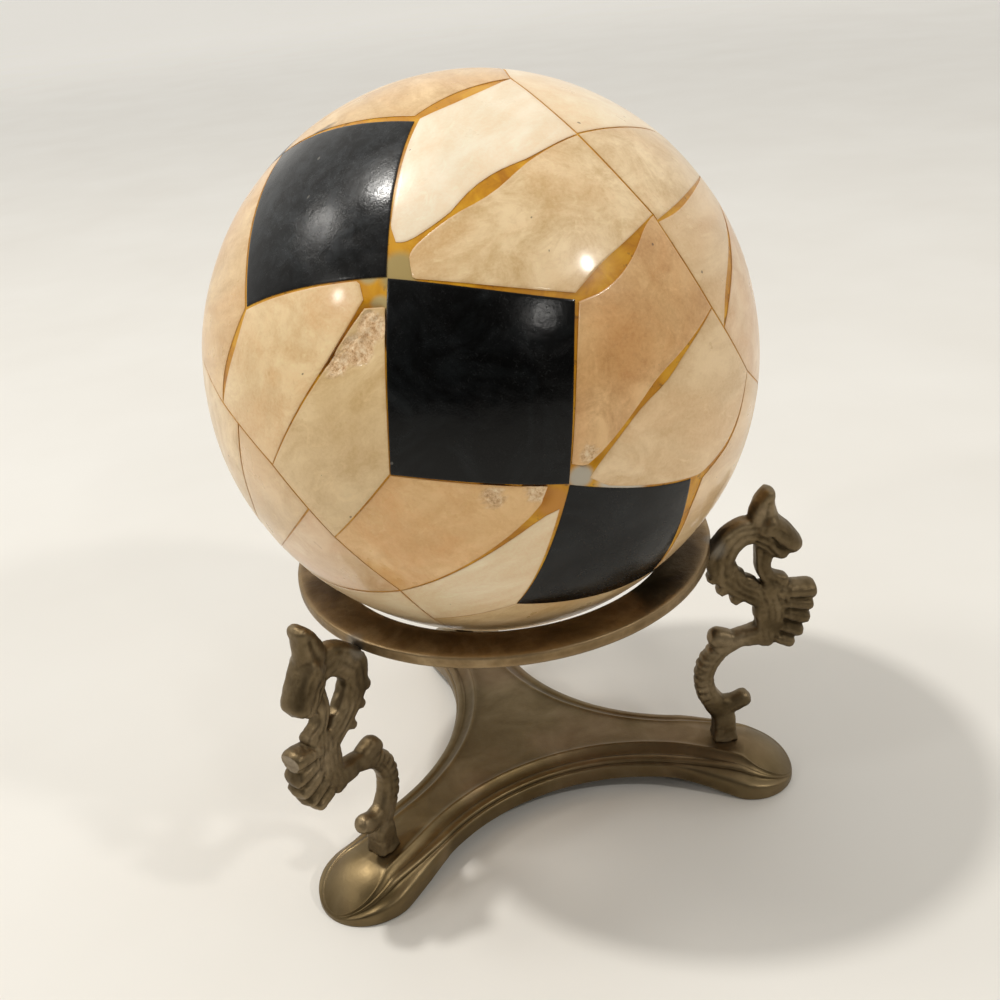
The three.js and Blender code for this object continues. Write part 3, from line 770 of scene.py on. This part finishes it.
# ---------------------------------------------------------------- ring
def make_ring():
    """A flat ring turned from a profile of [radius, height], with its edges eased."""
    low, top, outer = RING_TOP - RING_THICKNESS, RING_TOP, RING_OUTER
    eased = 0.35 * MM
    profile = [
        (RING_INNER + 0.05 * MM, low + eased), (RING_INNER, low + 1.0 * MM), (RING_INNER, top - 0.7 * MM),
        (RING_INNER + 0.12 * MM, top - 0.25 * MM), (RING_INNER + 0.5 * MM, top - 0.02 * MM),
        (RING_INNER + 3 * MM, top),
        (outer - 2.5 * MM, top), (outer - 0.6 * MM, top - 0.02 * MM), (outer - 0.18 * MM, top - 0.15 * MM),
        (outer - 0.02 * MM, top - 0.5 * MM), (outer, low + 1.1 * MM), (outer - 0.05 * MM, low + 0.5 * MM),
        (outer - 0.3 * MM, low + 0.12 * MM), (outer - 0.8 * MM, low), (RING_INNER + 2 * MM, low),
        (RING_INNER + 0.3 * MM, low + 0.08 * MM),
    ]
    deselect_all()
    bpy.ops.mesh.primitive_circle_add(vertices=240, radius=profile[0][0], location=(0, 0, profile[0][1]))
    ring = named("ring_band")
    bpy.ops.object.mode_set(mode="EDIT")
    bpy.ops.mesh.select_all(action="SELECT")
    here = profile[0]
    for there in profile[1:] + profile[:1]:
        bpy.ops.mesh.extrude_edges_move(TRANSFORM_OT_translate={"value": (0, 0, there[1] - here[1])})
        share = there[0] / here[0]
        bpy.ops.transform.resize(value=(share, share, 1), center_override=(0, 0, 0))
        here = there
    bpy.ops.object.mode_set(mode="OBJECT")
    pick(ring)
    bpy.ops.object.transform_apply(location=True, rotation=True, scale=True)
    recalculate(ring)
    smooth_subdivide(ring, 1)
    points = points_of(ring)
    away = points * [1, 1, 0]
    away /= np.linalg.norm(away, axis=1, keepdims=True)
    worn = np.abs(0.05 * MM * fractal(points, 5 * MM, 3, 8.0))[:, None]
    move_points(ring, points - away * worn + np.array([0, 0, -0.5]) * worn)
    ring.data.transform(Matrix.Translation(AXIS))
    smooth_shade(ring, 40)
    store_wear(ring, 4, 5.0)
    colours = (0.1, 0.06, 0.024), (0.2, 0.13, 0.06), (0.38, 0.28, 0.16)
    ring.data.materials.append(brass_finish("ring_brass", *colours, (0.38, 0.55), 0.8, solder=2.2))
    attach(ring, "root")
    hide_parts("ring")
    return ring


# ---------------------------------------------------------------- foot
HOLLOW_CENTRE = 60.2 * MM
HOLLOW_RADIUS = 44.0 * MM
TOE_CENTRE = 47.0 * MM
TOE_RADIUS = 9.8 * MM
TOE_DROP_START = 40.0 * MM
ARCH_HEIGHT = 3.1 * MM
ARCH_START = 33.0 * MM
ARCH_END = 46.0 * MM
# The moulding from the underside up to the plate: (set in from the outline, height), in millimetres.
MOULDING = [
    (0.3, None), (0.02, 0.35), (0, 2.0), (0, 4.5), (0, 5.9), (0.12, 6.2), (0.5, 6.3), (0.66, 6.4), (0.58, 6.6),
    (0.5, 6.95), (0.66, 7.22), (1.05, 7.4), (1.6, 7.5), (2.0, 7.46), (2.2, 7.3), (2.5, 7.3), (2.95, 7.45),
    (3.5, 7.78), (4.0, 8.2), (4.25, 8.5), (4.5, 8.68), (4.75, 8.68), (5.0, 8.56), (5.6, 8.5),
]


def arm_outline(count):
    """Points and outward normals from the toe's tip, round it and along the hollow side to its middle."""
    hollow = np.array([math.cos(math.radians(60)), math.sin(math.radians(60))]) * HOLLOW_CENTRE
    toe = np.array([TOE_CENTRE, 0.0])
    between = hollow - toe
    apart = (HOLLOW_RADIUS + TOE_RADIUS) / np.hypot(*between)
    tangent = math.atan2(between[1], between[0]) - math.acos(apart)
    toe_count = int(count * 0.42)
    points, normals, spine = [], [], []
    for index in range(count + 1):
        if index <= toe_count:
            angle = tangent * index / toe_count
            normal = np.array([math.cos(angle), math.sin(angle)])
            points.append(toe + normal * TOE_RADIUS)
            spine.append(TOE_CENTRE)
        else:
            share = (index - toe_count) / (count - toe_count)
            angle = tangent + (math.radians(60) - tangent) * share
            normal = np.array([math.cos(angle), math.sin(angle)])
            points.append(hollow - normal * HOLLOW_RADIUS)
            spine.append(TOE_CENTRE * (1 - share))
        normals.append(normal)
    return np.array(points), np.array(normals), np.array(spine)


def pinch_at(across):
    """The mouldings run on almost straight over the toe, while the toe's wall swells out below them."""
    return 1 - 0.2 * float(step(across, 34 * MM, 47 * MM))


def fade_at(across):
    """How far the moulding is still open: it closes up towards the tip of the toe."""
    share = np.clip((TOE_CENTRE + TOE_RADIUS - across) / (TOE_RADIUS * 1.5), 0, 1)
    return 0.08 + 0.92 * share * share * (3 - 2 * share)


def make_foot():
    """Half an arm is a grid laid over its moulding and plate, mirrored, and turned twice for the other arms."""
    along_count = 34
    inner_rows = 5
    rows = len(MOULDING) + inner_rows
    deselect_all()
    bpy.ops.mesh.primitive_grid_add(x_subdivisions=along_count, y_subdivisions=rows - 1, size=2)
    half = named("half_arm")
    flat = points_of(half)
    column = np.rint((flat[:, 0] + 1) / 2 * along_count).astype(int)
    row = np.rint((flat[:, 1] + 1) / 2 * (rows - 1)).astype(int)
    outline, normals, spine = arm_outline(along_count)
    reach = TOE_CENTRE + TOE_RADIUS
    placed = np.zeros_like(flat)
    for vertex, (i, j) in enumerate(zip(column, row)):
        point, normal = outline[i], normals[i]
        fade = fade_at(point[0])
        inset, height = MOULDING[min(j, len(MOULDING) - 1)]
        at = point - normal * inset * MM * fade
        if j >= len(MOULDING):
            inward = (j - len(MOULDING) + 1) / inner_rows
            at = at * (1 - inward) + np.array([spine[i], 0.0]) * inward
        inside = float(np.hypot(*(at - point)))
        if j > 3:
            at = at * np.array([1.0, 1 - (1 - pinch_at(at[0])) * min(1.0, (j - 3) / 2)])
        run = np.clip((np.hypot(*at) - TOE_DROP_START) / (reach + 0.25 * MM - TOE_DROP_START), 0, 1)
        drop = math.sqrt(1 - run * run)
        arch = ARCH_HEIGHT * (1 - float(step(at[0], ARCH_START, ARCH_END)))
        if height is None:
            level = arch
        elif j < 3:
            level = arch + (height * MM if j == 1 else (height * MM - arch) * 0.5 + 0.3 * MM) * drop
        else:
            relief = height - 5.9 - 2.6 * math.sqrt(min(1.0, inset / 5)) if 4 < j < len(MOULDING) else 0.0
            dome = 4.6 + 4.4 * math.sqrt(1 - (1 - min(1.0, inside / TOE_RADIUS)) ** 2)
            toe = float(step(at[0], 38 * MM, 50 * MM))
            level = (height * (1 - toe) + (dome + relief * (0.4 + 0.4 * fade)) * toe) * MM * drop
        placed[vertex] = (at[0], at[1], level)
    move_points(half, placed)
    # the underside: a second grid from the same outline, a little above the rim of the side walls
    bpy.ops.mesh.primitive_grid_add(x_subdivisions=along_count, y_subdivisions=4, size=2)
    under = named("half_underside")
    flat = points_of(under)
    column = np.rint((flat[:, 0] + 1) / 2 * along_count).astype(int)
    share = (flat[:, 1] + 1) / 2
    placed = np.zeros_like(flat)
    for vertex, (i, inward) in enumerate(zip(column, share)):
        rim = outline[i] - normals[i] * 0.3 * MM * fade_at(outline[i][0])
        at = rim * (1 - inward) + np.array([spine[i], 0.0]) * inward
        placed[vertex] = (at[0], at[1], ARCH_HEIGHT * (1 - float(step(at[0], ARCH_START, ARCH_END))))
    move_points(under, placed)
    half = joined("half_arm", [half, under])
    mirrored = copy_of(half, "half_arm_mirrored", Matrix.Scale(-1, 4, (0, 1, 0)))
    mirrored.data.flip_normals()
    arm = joined("arm", [half, mirrored])
    turns = [(turn, Matrix.Rotation(math.radians(turn), 4, "Z")) for turn in (120, 240)]
    foot = joined("three_armed_foot", [arm] + [copy_of(arm, f"arm_{turn}", matrix) for turn, matrix in turns])
    pick(foot)
    bpy.ops.object.mode_set(mode="EDIT")
    bpy.ops.mesh.select_all(action="SELECT")
    bpy.ops.mesh.remove_doubles(threshold=2e-5)
    bpy.ops.mesh.normals_make_consistent(inside=False)
    bpy.ops.object.mode_set(mode="OBJECT")
    smooth_subdivide(foot, 1)
    # the arms swing a touch clockwise at the toes, and the cast surface isn't quite flat
    points = points_of(foot)
    radius = np.hypot(points[:, 0], points[:, 1])
    swing = -math.radians(1.5) * step(radius, 36 * MM, 56 * MM)
    turned = np.stack([points[:, 0] * np.cos(swing) - points[:, 1] * np.sin(swing),
                       points[:, 0] * np.sin(swing) + points[:, 1] * np.cos(swing), points[:, 2]], -1)
    sag = 0.06 * MM * fractal(turned, 12 * MM, 2, 4.0) * step(turned[:, 2], 1 * MM, 4 * MM)
    move_points(foot, turned - np.array([0, 0, 1.0]) * np.abs(sag)[:, None])
    foot.data.transform(Matrix.Translation(AXIS) @ Matrix.Rotation(math.radians(ARM_ANGLES["back"]), 4, "Z"))
    smooth_shade(foot, 60)
    store_wear(foot, 6, 2.2)
    colours = (0.13, 0.092, 0.042), (0.165, 0.12, 0.06), (0.22, 0.165, 0.09)
    foot.data.materials.append(brass_finish("foot_brass", *colours, (0.36, 0.46), 0.25, 0.25))
    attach(foot, "root")
    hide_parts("foot")
    return foot


# ---------------------------------------------------------------- dragons
# A dragon is modelled upright in its own plane: x is the distance from the stand's axis, z is up.
POST_RADIUS = 42.8 * MM
POST_TOP = 14.8 * MM
SAWN_REACH = 61.1 * MM  # from the stand's axis to the flat end of the fin's top roll
HALF_PLATE = 1.9  # millimetres


def limb(stations, half_thickness=HALF_PLATE, squareness=0.55, sides=24, blunt=0.5):
    """A sphere stretched along a smooth line of (x, z, half width) stations, in millimetres."""
    line = np.array(stations, dtype=float)
    knots = np.concatenate([[0], np.cumsum(np.hypot(*np.diff(line[:, :2], axis=0).T))])
    fine = np.linspace(0, knots[-1], 80)
    curve = np.stack([smooth_through(knots, line[:, k], fine) for k in range(3)], -1)
    length = np.concatenate([[0], np.cumsum(np.hypot(*np.diff(curve[:, :2], axis=0).T))])
    start, end = curve[0, 2], curve[-1, 2]
    rings = max(12, int((length[-1] + start + end) / 0.55))
    deselect_all()
    bpy.ops.mesh.primitive_uv_sphere_add(segments=sides, ring_count=rings, radius=1)
    body = named("limb")
    ball = points_of(body)
    share = np.arccos(np.clip(-ball[:, 2], -1, 1)) / np.pi
    reach = share * (length[-1] + start + end) - start
    inside = np.clip(reach, 0, length[-1])
    x, z, width = (np.interp(inside, length, curve[:, k]) for k in range(3))
    way = np.gradient(curve[:, :2], length, axis=0)
    way /= np.linalg.norm(way, axis=1, keepdims=True)
    way_x, way_z = np.interp(inside, length, way[:, 0]), np.interp(inside, length, way[:, 1])
    beyond = reach - inside
    cap = np.where(beyond < 0, np.sqrt(np.clip(1 - (beyond / start) ** 2, 0, 1)),
                   np.where(beyond > 0, np.sqrt(np.clip(1 - (beyond / end) ** 2, 0, 1)), 1.0))
    angle = np.arctan2(ball[:, 1], ball[:, 0])
    side = np.sign(np.cos(angle)) * np.abs(np.cos(angle)) ** squareness * width * cap
    thick = np.sign(np.sin(angle)) * np.abs(np.sin(angle)) ** squareness * half_thickness * cap ** blunt
    placed = np.stack([x + way_x * beyond + way_z * side, thick, z + way_z * beyond - way_x * side], -1)
    move_points(body, placed * MM)
    return body


def smooth_through(knots, values, at):
    """A smooth curve through the values."""
    slopes = np.gradient(values, knots)
    index = np.clip(np.searchsorted(knots, at, side="right") - 1, 0, len(knots) - 2)
    gap = knots[index + 1] - knots[index]
    t = (at - knots[index]) / gap
    return ((2 * t ** 3 - 3 * t ** 2 + 1) * values[index] + (t ** 3 - 2 * t ** 2 + t) * gap * slopes[index]
            + (-2 * t ** 3 + 3 * t ** 2) * values[index + 1] + (t ** 3 - t ** 2) * gap * slopes[index + 1])


NECK = [(52, 55.8, 2.6), (49.4, 56.5, 2.75), (46.6, 56.3, 2.85), (44, 54.4, 2.9), (42.4, 50.9, 2.9),
        (43, 47.5, 2.45), (44.85, 45.15, 2.2), (47.8, 43.1, 2.25), (51.4, 41.4, 3.0), (54, 40, 3.4)]
THROAT = [(51.4, 53.6, 2.3), (50.9, 50.6, 1.75), (50.8, 48.2, 1.5), (51.6, 46.2, 1.5), (54.4, 44.4, 1.7)]
CHEST = [(53, 42.8, 3.2), (52.7, 39, 3.75), (52.6, 35.8, 3.65), (50.8, 33.2, 2.4), (47.6, 32.4, 1.8)]
BELLY = [(51.7, 33.4, 2.3), (51.3, 31.7, 1.9)]
TAIL = [(49.4, 32.7, 2.0), (45.8, 32.2, 1.9), (42.8, 30.8, 2.1), (40.5, 28.5, 2.15), (39.1, 25.6, 2.1),
        (38.8, 22.8, 2.05), (39.3, 20, 2.1), (40.7, 17.4, 2.3), (42.3, 14.8, 2.4)]
TAIL_BUMP = [(43.2, 32.6, 2.0), (41.8, 32.9, 2.2)]
HOOK = [(42.4, 16.2, 2.3), (44.8, 16.4, 1.9), (46.7, 17.3, 1.9)]
HEAD = [
    # crest, snout, lower jaw: stations and half thickness
    ([(51, 57.4, 3.3), (50.8, 60.5, 2.7), (51.1, 62.5, 2.05), (51.7, 64.1, 1.35)], 2.35),
    ([(51.6, 57.4, 2.8), (54.2, 55.3, 2.5), (56.1, 53.2, 2.2)], 3.3),
    ([(50.6, 54.6, 2.0), (52.7, 52.5, 1.85), (54.3, 51.4, 1.65)], 2.4),
]
FIN_ROLLS = [
    # root, tip and half width of each roll, top to bottom
    ((54.8, 42.2), (59.7, 41.9), 2.1),
    ((55.6, 39.8), (59.3, 38.9), 1.75),
    ((55.6, 37.2), (58.7, 36), 1.7),
    ((54.8, 34.3), (57.5, 33.1), 1.6),
    ((54, 31.8), (55.8, 30.8), 1.45),
]
FIN_WEB = [(57.2, 42, 2.3), (57.2, 38.4, 2.4), (55.3, 33.2, 2.1)]
MANE_TEETH = [
    ((43.4, 48.8), (40.5, 46.75), 2.6), ((45, 46.4), (42.3, 43.9), 2.6), ((47.6, 44.2), (45.05, 41.4), 2.6),
]


def line_distance(points, line):
    """Distance to a line of (x, z) points, share of its length there, and the side it lies on."""
    line = np.array(line, dtype=float)[:, :2] * MM
    knots = np.concatenate([[0], np.cumsum(np.hypot(*np.diff(line, axis=0).T))])
    best = np.full(len(points), 1e9)
    share = np.zeros(len(points))
    side = np.zeros(len(points))
    flat = points[:, [0, 2]]
    for start, end, far, close in zip(line[:-1], line[1:], knots[1:], knots[:-1]):
        way = end - start
        t = np.clip(((flat - start) @ way) / (way @ way), 0, 1)
        gap = flat - start - t[:, None] * way
        distance = np.hypot(gap[:, 0], gap[:, 1])
        closer = distance < best
        best = np.where(closer, distance, best)
        share = np.where(closer, (close + t * (far - close)) / knots[-1], share)
        side = np.where(closer, np.sign(way[0] * gap[:, 1] - way[1] * gap[:, 0]), side)
    return best, share, side


def groove(points, line, width, depth):
    """How far the surface sinks along a chased line."""
    distance, _, _ = line_distance(points, line)
    return -depth * MM * np.exp(-(distance / (width * MM)) ** 2)


def chase_dragon(dragon):
    """Cuts the cast detail: mouth, brow, mane strands, throat, chest hair, fin grooves, tail ribs."""
    points = points_of(dragon)
    normals = normals_of(dragon)
    lift = np.zeros(len(points))
    on_faces = step(np.abs(normals[:, 1]), 0.25, 0.8)
    for line, width, depth in (
        ([(57, 50.9), (55.2, 52.2), (53.2, 53.6), (51.8, 55.6)], 0.32, 0.4),
        ([(52.4, 57.8), (53.8, 57), (55, 55.8)], 0.5, 0.2),
        ([(50.4, 57.2), (50.9, 60), (51.4, 62.6)], 0.6, 0.22),
        ([(52.7, 57.6), (52.2, 60), (52.2, 62)], 0.5, -0.15),
        ([(49.2, 54.6), (51.2, 53.6), (52.8, 51.2)], 0.35, 0.3),
        ([(50.6, 51.8), (50.2, 48.8), (51.2, 46.2), (54.4, 44.2)], 0.4, 0.12),
        ([(55.8, 41.3), (58.4, 40.9), (61, 40.9)], 0.32, 0.3),
        ([(55.6, 38.9), (58, 38.1), (60.8, 37.7)], 0.32, 0.3),
        ([(54.8, 36.2), (57.4, 35.1), (60, 34.5)], 0.32, 0.3),
        ([(54.2, 33.4), (56.2, 32.4), (58.4, 31.7)], 0.32, 0.3),
        ([(55.4, 43.6), (54.9, 40.6), (55, 36), (54, 32)], 0.55, 0.14),
        ([(49.6, 57.7), (46.2, 57.9), (43.4, 55.8), (41.6, 52), (41.6, 48.4)], 0.45, 0.12),
        ([(48.6, 56.3), (46.4, 56.2), (44.5, 54.4), (43, 51), (43.2, 48)], 0.45, 0.13),
        ([(47.6, 54.7), (46.2, 54.2), (44.6, 51.4), (44.6, 48.8)], 0.4, 0.11),
        ([(44.6, 47), (46.8, 44.6), (50.4, 42.8)], 0.45, 0.1),
        ([(43.2, 46.4), (45.4, 43.8), (49, 41.6)], 0.45, 0.1),
    ):
        lift += groove(points, line, width, depth) * on_faces
    # short curved strokes on the mane and the chest, worn away in places
    broken = step(fractal(points, 2.6 * MM, 2, 9.0), -0.35, 0.3)
    distance, share, side = line_distance(points, NECK)
    mane = step(distance, 3 * MM, 2.2 * MM) * step(share, 0.3, 0.45) * (1 - step(share, 0.85, 0.95))
    strokes = np.cos(side * distance / (1.3 * MM) * 2 * np.pi + 34 * share + 1.5 * np.sin(21 * share))
    lift += 0.045 * MM * strokes * mane * on_faces * broken
    distance, share, side = line_distance(points, CHEST)
    x, z = points[:, 0], points[:, 2]
    hair = np.cos(x / (1.25 * MM) * 2 * np.pi + 2.6 * np.sin(z / (2.3 * MM)) + z / (1.1 * MM))
    on_chest = step(distance, 4.2 * MM, 2.5 * MM) * (1 - step(share, 0.7, 0.95)) * on_faces
    lift += 0.045 * MM * broken * hair * on_chest
    # ribs across the tail, deeper on its outer side, and a line along it
    distance, share, side = line_distance(points, TAIL)
    on_tail = step(distance, 2.8 * MM, 2.3 * MM) * step(share, 0.26, 0.34) * (1 - step(share, 0.78, 0.88))
    ribs = (0.5 + 0.5 * np.cos(share * 2 * np.pi * 15)) ** 2
    outward = step(-side * distance, -0.6 * MM, 1.0 * MM)
    lift -= 0.2 * MM * ribs * on_tail * (0.2 + 0.8 * outward)
    lift -= 0.12 * MM * np.exp(-((side * distance - 0.6 * MM) / (0.3 * MM)) ** 2) * on_tail * on_faces
    # eye hollows either side of the brow
    for sign in (1, -1):
        away = np.linalg.norm(points - np.array([53.9, sign * 2.6, 56.2]) * MM, axis=1)
        lift -= 0.4 * MM * np.exp(-(away / (0.8 * MM)) ** 2)
    # the casting is a little lumpy, and pitted in places
    lift += 0.09 * MM * fractal(points, 2.4 * MM, 2, 6.0)
    lift += 0.035 * MM * fractal(points, 0.8 * MM, 2, 2.0)
    moved = points + normals * lift[:, None]
    # the end of the top roll is sawn off flat
    saw = np.array([1.0, 0, 0])
    past = moved @ saw - SAWN_REACH
    sawn = (past > 0) * step(moved[:, 2], 40.2 * MM, 40.4 * MM)
    moved -= (past * sawn)[:, None] * saw
    move_points(dragon, moved)
    store(dragon, "sawn", sawn)


def make_post():
    """A square post with a rounded foot, chiselled a little narrower at its waist."""
    bpy.ops.mesh.primitive_cube_add(size=1)
    post = named("post")
    bpy.ops.object.mode_set(mode="EDIT")
    bpy.ops.mesh.select_all(action="SELECT")
    bpy.ops.mesh.subdivide(number_cuts=5)
    bpy.ops.object.mode_set(mode="OBJECT")
    points = points_of(post)
    floor, top = PLATE_TOP - 0.5 * MM, POST_TOP
    share = points[:, 2] + 0.5
    width = (4.5 + 0.8 * np.abs(2 * share - 1) ** 3 - 1.5 * step(share, 0.78, 1.0)) * MM
    superround = np.maximum(np.abs(points[:, 0]), np.abs(points[:, 1]))
    norm = (np.abs(points[:, 0]) ** 6 + np.abs(points[:, 1]) ** 6) ** (1 / 6)
    ease = np.where(norm > 0, superround / np.maximum(norm, 1e-9), 1.0)
    x, y = points[:, 0] * width * ease + POST_RADIUS, points[:, 1] * width * ease
    move_points(post, np.stack([x, y, floor + share * (top - floor)], -1))
    return post


def make_dragon():
    parts = [limb(NECK), limb(THROAT, 1.7), limb(CHEST, 2.1), limb(BELLY, 2.0), limb(TAIL, 1.95, 0.75),
             limb(TAIL_BUMP, 2.1, 0.9), limb(HOOK, 1.9, 0.85), limb(FIN_WEB, 2.1)]
    parts += [limb(stations, thickness, 0.85, blunt=0.8) for stations, thickness in HEAD]
    parts += [limb([(*root, width), (*tip, width)], 2.6, 0.9) for root, tip, width in FIN_ROLLS]
    parts += [limb([(*root, width), (*tip, 0.9)], 1.75) for root, tip, width in MANE_TEETH]
    parts.append(make_post())
    dragon = joined("dragon", parts)
    apply_modifier(dragon, "REMESH", mode="VOXEL", voxel_size=0.24 * MM, adaptivity=0)
    apply_modifier(dragon, "SMOOTH", factor=0.6, iterations=4)
    chase_dragon(dragon)
    store_wear(dragon, 8, 1.9)
    return dragon


def dragon_finish():
    colours = (0.1, 0.07, 0.035), (0.185, 0.135, 0.073), (0.3, 0.23, 0.14)
    return brass_finish("dragon_brass", *colours, (0.41, 0.58), 0.7, worn=0.28, solder=2.6)


# The left dragon was bent a little when it was fitted: (place) and how far it was pushed, in millimetres.
LEFT_BENDS = [
    ((51.8, 64.5), (0.6, -1.1)), ((57.4, 53), (-0.6, -3)), ((55, 50), (0.2, -2.7)), ((46, 58.6), (0.1, -1.5)),
    ((49, 53.5), (0.8, -2)), ((49.6, 46), (0.8, -2.2)), ((53.4, 47.6), (0.2, -2.4)), ((61, 42), (-1.6, -1.4)),
    ((59, 36), (-0.1, -1.8)), ((56, 30), (0.3, -1.1)),
    ((51.5, 30.5), (-0.3, -1.4)), ((41.8, 35), (-0.3, -1.4)),
    ((41, 50), (-0.1, -0.6)), ((42.2, 45), (0.1, -1.4)), ((45, 42), (0.3, -1.8)), ((50, 37), (0.1, -1.6)),
    ((38.8, 26), (0, -0.2)), ((38.8, 22), (0, 0)), ((47.6, 17), (-0.4, -0.8)),
    ((42.3, 15.5), (0, 0)), ((42.8, 9), (0, 0)),
]


def bend_left(dragon):
    points = points_of(dragon)
    total = np.zeros(len(points))
    push = np.zeros_like(points)
    for (x, z), (dx, dz) in LEFT_BENDS:
        away = np.hypot(points[:, 0] / MM - x, points[:, 2] / MM - z)
        weight = 1 / (away ** 2 + 2.0) ** 1.5
        total += weight
        push += weight[:, None] * np.array([dx, 0, dz]) * MM
    move_points(dragon, points + push / total[:, None])


def make_dragons():
    pattern = make_dragon()
    finish = dragon_finish()
    pieces = []
    for side, angle in ARM_ANGLES.items():
        place = (
            Matrix.Translation(AXIS)
            @ Matrix.Rotation(math.radians(angle), 4, "Z")
            @ Matrix.Translation((POST_RADIUS, 0, 0))
            @ Matrix.Rotation(math.radians(DRAGON_TURNS[side]), 4, "Z")
            @ Matrix.Translation((-POST_RADIUS, 0, 0))
        )
        dragon = copy_of(pattern, f"{side}_sea_dragon", Matrix.Identity(4))
        if side == "left":
            bend_left(dragon)
        dragon.data.transform(place)
        # where it meets the ring, the casting is filed back to the ring's edge
        points = points_of(dragon)
        away = np.hypot(points[:, 0] - AXIS.x, points[:, 1] - AXIS.y)
        beside = (points[:, 2] > RING_TOP - RING_THICKNESS - 0.6 * MM)
        short = beside & (away < RING_OUTER - 0.1 * MM)
        push = np.where(short, (RING_OUTER - 0.1 * MM) / np.maximum(away, 1e-6), 1.0)
        points[:, 0] = AXIS.x + (points[:, 0] - AXIS.x) * push
        points[:, 1] = AXIS.y + (points[:, 1] - AXIS.y) * push
        move_points(dragon, points)
        smooth_shade(dragon)
        dragon.data.materials.append(finish)
        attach(dragon, "root")
        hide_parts(f"{side}_dragon")
        pieces.append(dragon)
    bpy.data.objects.remove(pattern)
    return pieces


# ---------------------------------------------------------------- stage
def make_floor():
    deselect_all()
    bpy.ops.mesh.primitive_plane_add(size=40)
    floor = named("floor")
    material, tree, surface = new_finish("pale_floor")
    place = object_place(tree)
    pale = ramp(tree, cloud(tree, place, 0.09, 3), (0.3, (0.77, 0.75, 0.705)), (0.7, (0.805, 0.79, 0.75)))
    # painted light: the floor itself glows, brighter further back, as if lit by a window behind it
    away = add(tree, "VectorMath", {0: place}, operation="LENGTH").outputs["Value"]
    inputs = {"Value": away, "From Min": 0.5, "From Max": 2.5, "To Min": 0.0, "To Max": 0.23}
    painted_window_glow = add(tree, "MapRange", inputs, interpolation_type="SMOOTHSTEP").outputs[0]
    wire(tree, surface, Base_Color=pale, Roughness=0.45)
    # painted glow: the floor's emission stands in for light from a window behind it
    wire(tree, surface, Emission_Color=(1.0, 0.97, 0.9), Emission_Strength=painted_window_glow)
    floor.data.materials.append(material)


def add_lamp(name, toward, energy, size, distance=1.3, colour=(1, 0.97, 0.92)):
    """A round soft light in the given direction from the ball, aimed at it."""
    way = Vector(toward).normalized()
    bpy.ops.object.light_add(type="AREA", location=BALL_CENTRE + way * distance)
    lamp = bpy.context.object
    lamp.name = name
    lamp.data.shape = "DISK"
    lamp.data.size = size
    lamp.data.energy = energy
    lamp.data.color = colour
    lamp.rotation_euler = way.to_track_quat("Z", "Y").to_euler()


def make_lights():
    add_lamp("key", (-0.62, 0.35, 0.70), 2.0, 0.26)
    add_lamp("overhead", (-0.34, 0.18, 0.92), 7.0, 0.09)
    add_lamp("left", (-0.83, -0.10, 0.55), 1.2, 0.1)
    add_lamp("front", (0.15, -0.84, 0.52), 0.9, 0.12)
    add_lamp("front_right", (0.50, -0.58, 0.64), 3.0, 0.1)
    world = bpy.data.worlds.new("studio")
    bpy.context.scene.world = world
    world.use_nodes = True
    tree = world.node_tree
    sky = add(tree, "TexCoord").outputs["Generated"]
    behind = add(tree, "VectorMath", {0: sky, 1: (0.25, 0.9, 0.35)}, operation="DOT_PRODUCT").outputs["Value"]
    glow = ramp(tree, calc(tree, "MULTIPLY_ADD", behind, 0.5, 0.5),
                (0.2, (0.04, 0.038, 0.035)), (0.5, (0.4, 0.385, 0.36)), (0.75, (0.82, 0.8, 0.76)))
    background = tree.nodes["Background"]
    tree.links.new(glow, background.inputs[0])
    background.inputs[1].default_value = 1.0


CAMERA_AZIMUTH = -17.14
CAMERA_ELEVATION = 26.75
CAMERA_DISTANCE = 224.8 * MM
CAMERA_ROLL = -6.24
AIM_HEIGHT = 63.95 * MM
AIM_ASIDE = 0.39 * MM
LENS = 41.4


def make_camera():
    turn = (
        Matrix.Rotation(math.radians(CAMERA_AZIMUTH), 3, "Z")
        @ Matrix.Rotation(math.radians(90 - CAMERA_ELEVATION), 3, "X")
    )
    aim = AXIS + Vector((0, 0, AIM_HEIGHT)) + turn @ Vector((AIM_ASIDE, 0, 0))
    place = aim + turn @ Vector((0, 0, CAMERA_DISTANCE))
    rotation = (turn @ Matrix.Rotation(math.radians(CAMERA_ROLL), 3, "Z")).to_euler()
    bpy.ops.object.camera_add(location=place, rotation=rotation)
    camera = bpy.context.object
    camera.name = "camera"
    camera.data.lens = LENS
    camera.data.sensor_width = 36
    camera.data.clip_start = 0.01
    bpy.context.scene.camera = camera


make_ball()
make_ring()
make_foot()
make_dragons()
make_floor()
make_lights()
make_camera()
bpy.context.scene.view_settings.view_transform = "Standard"
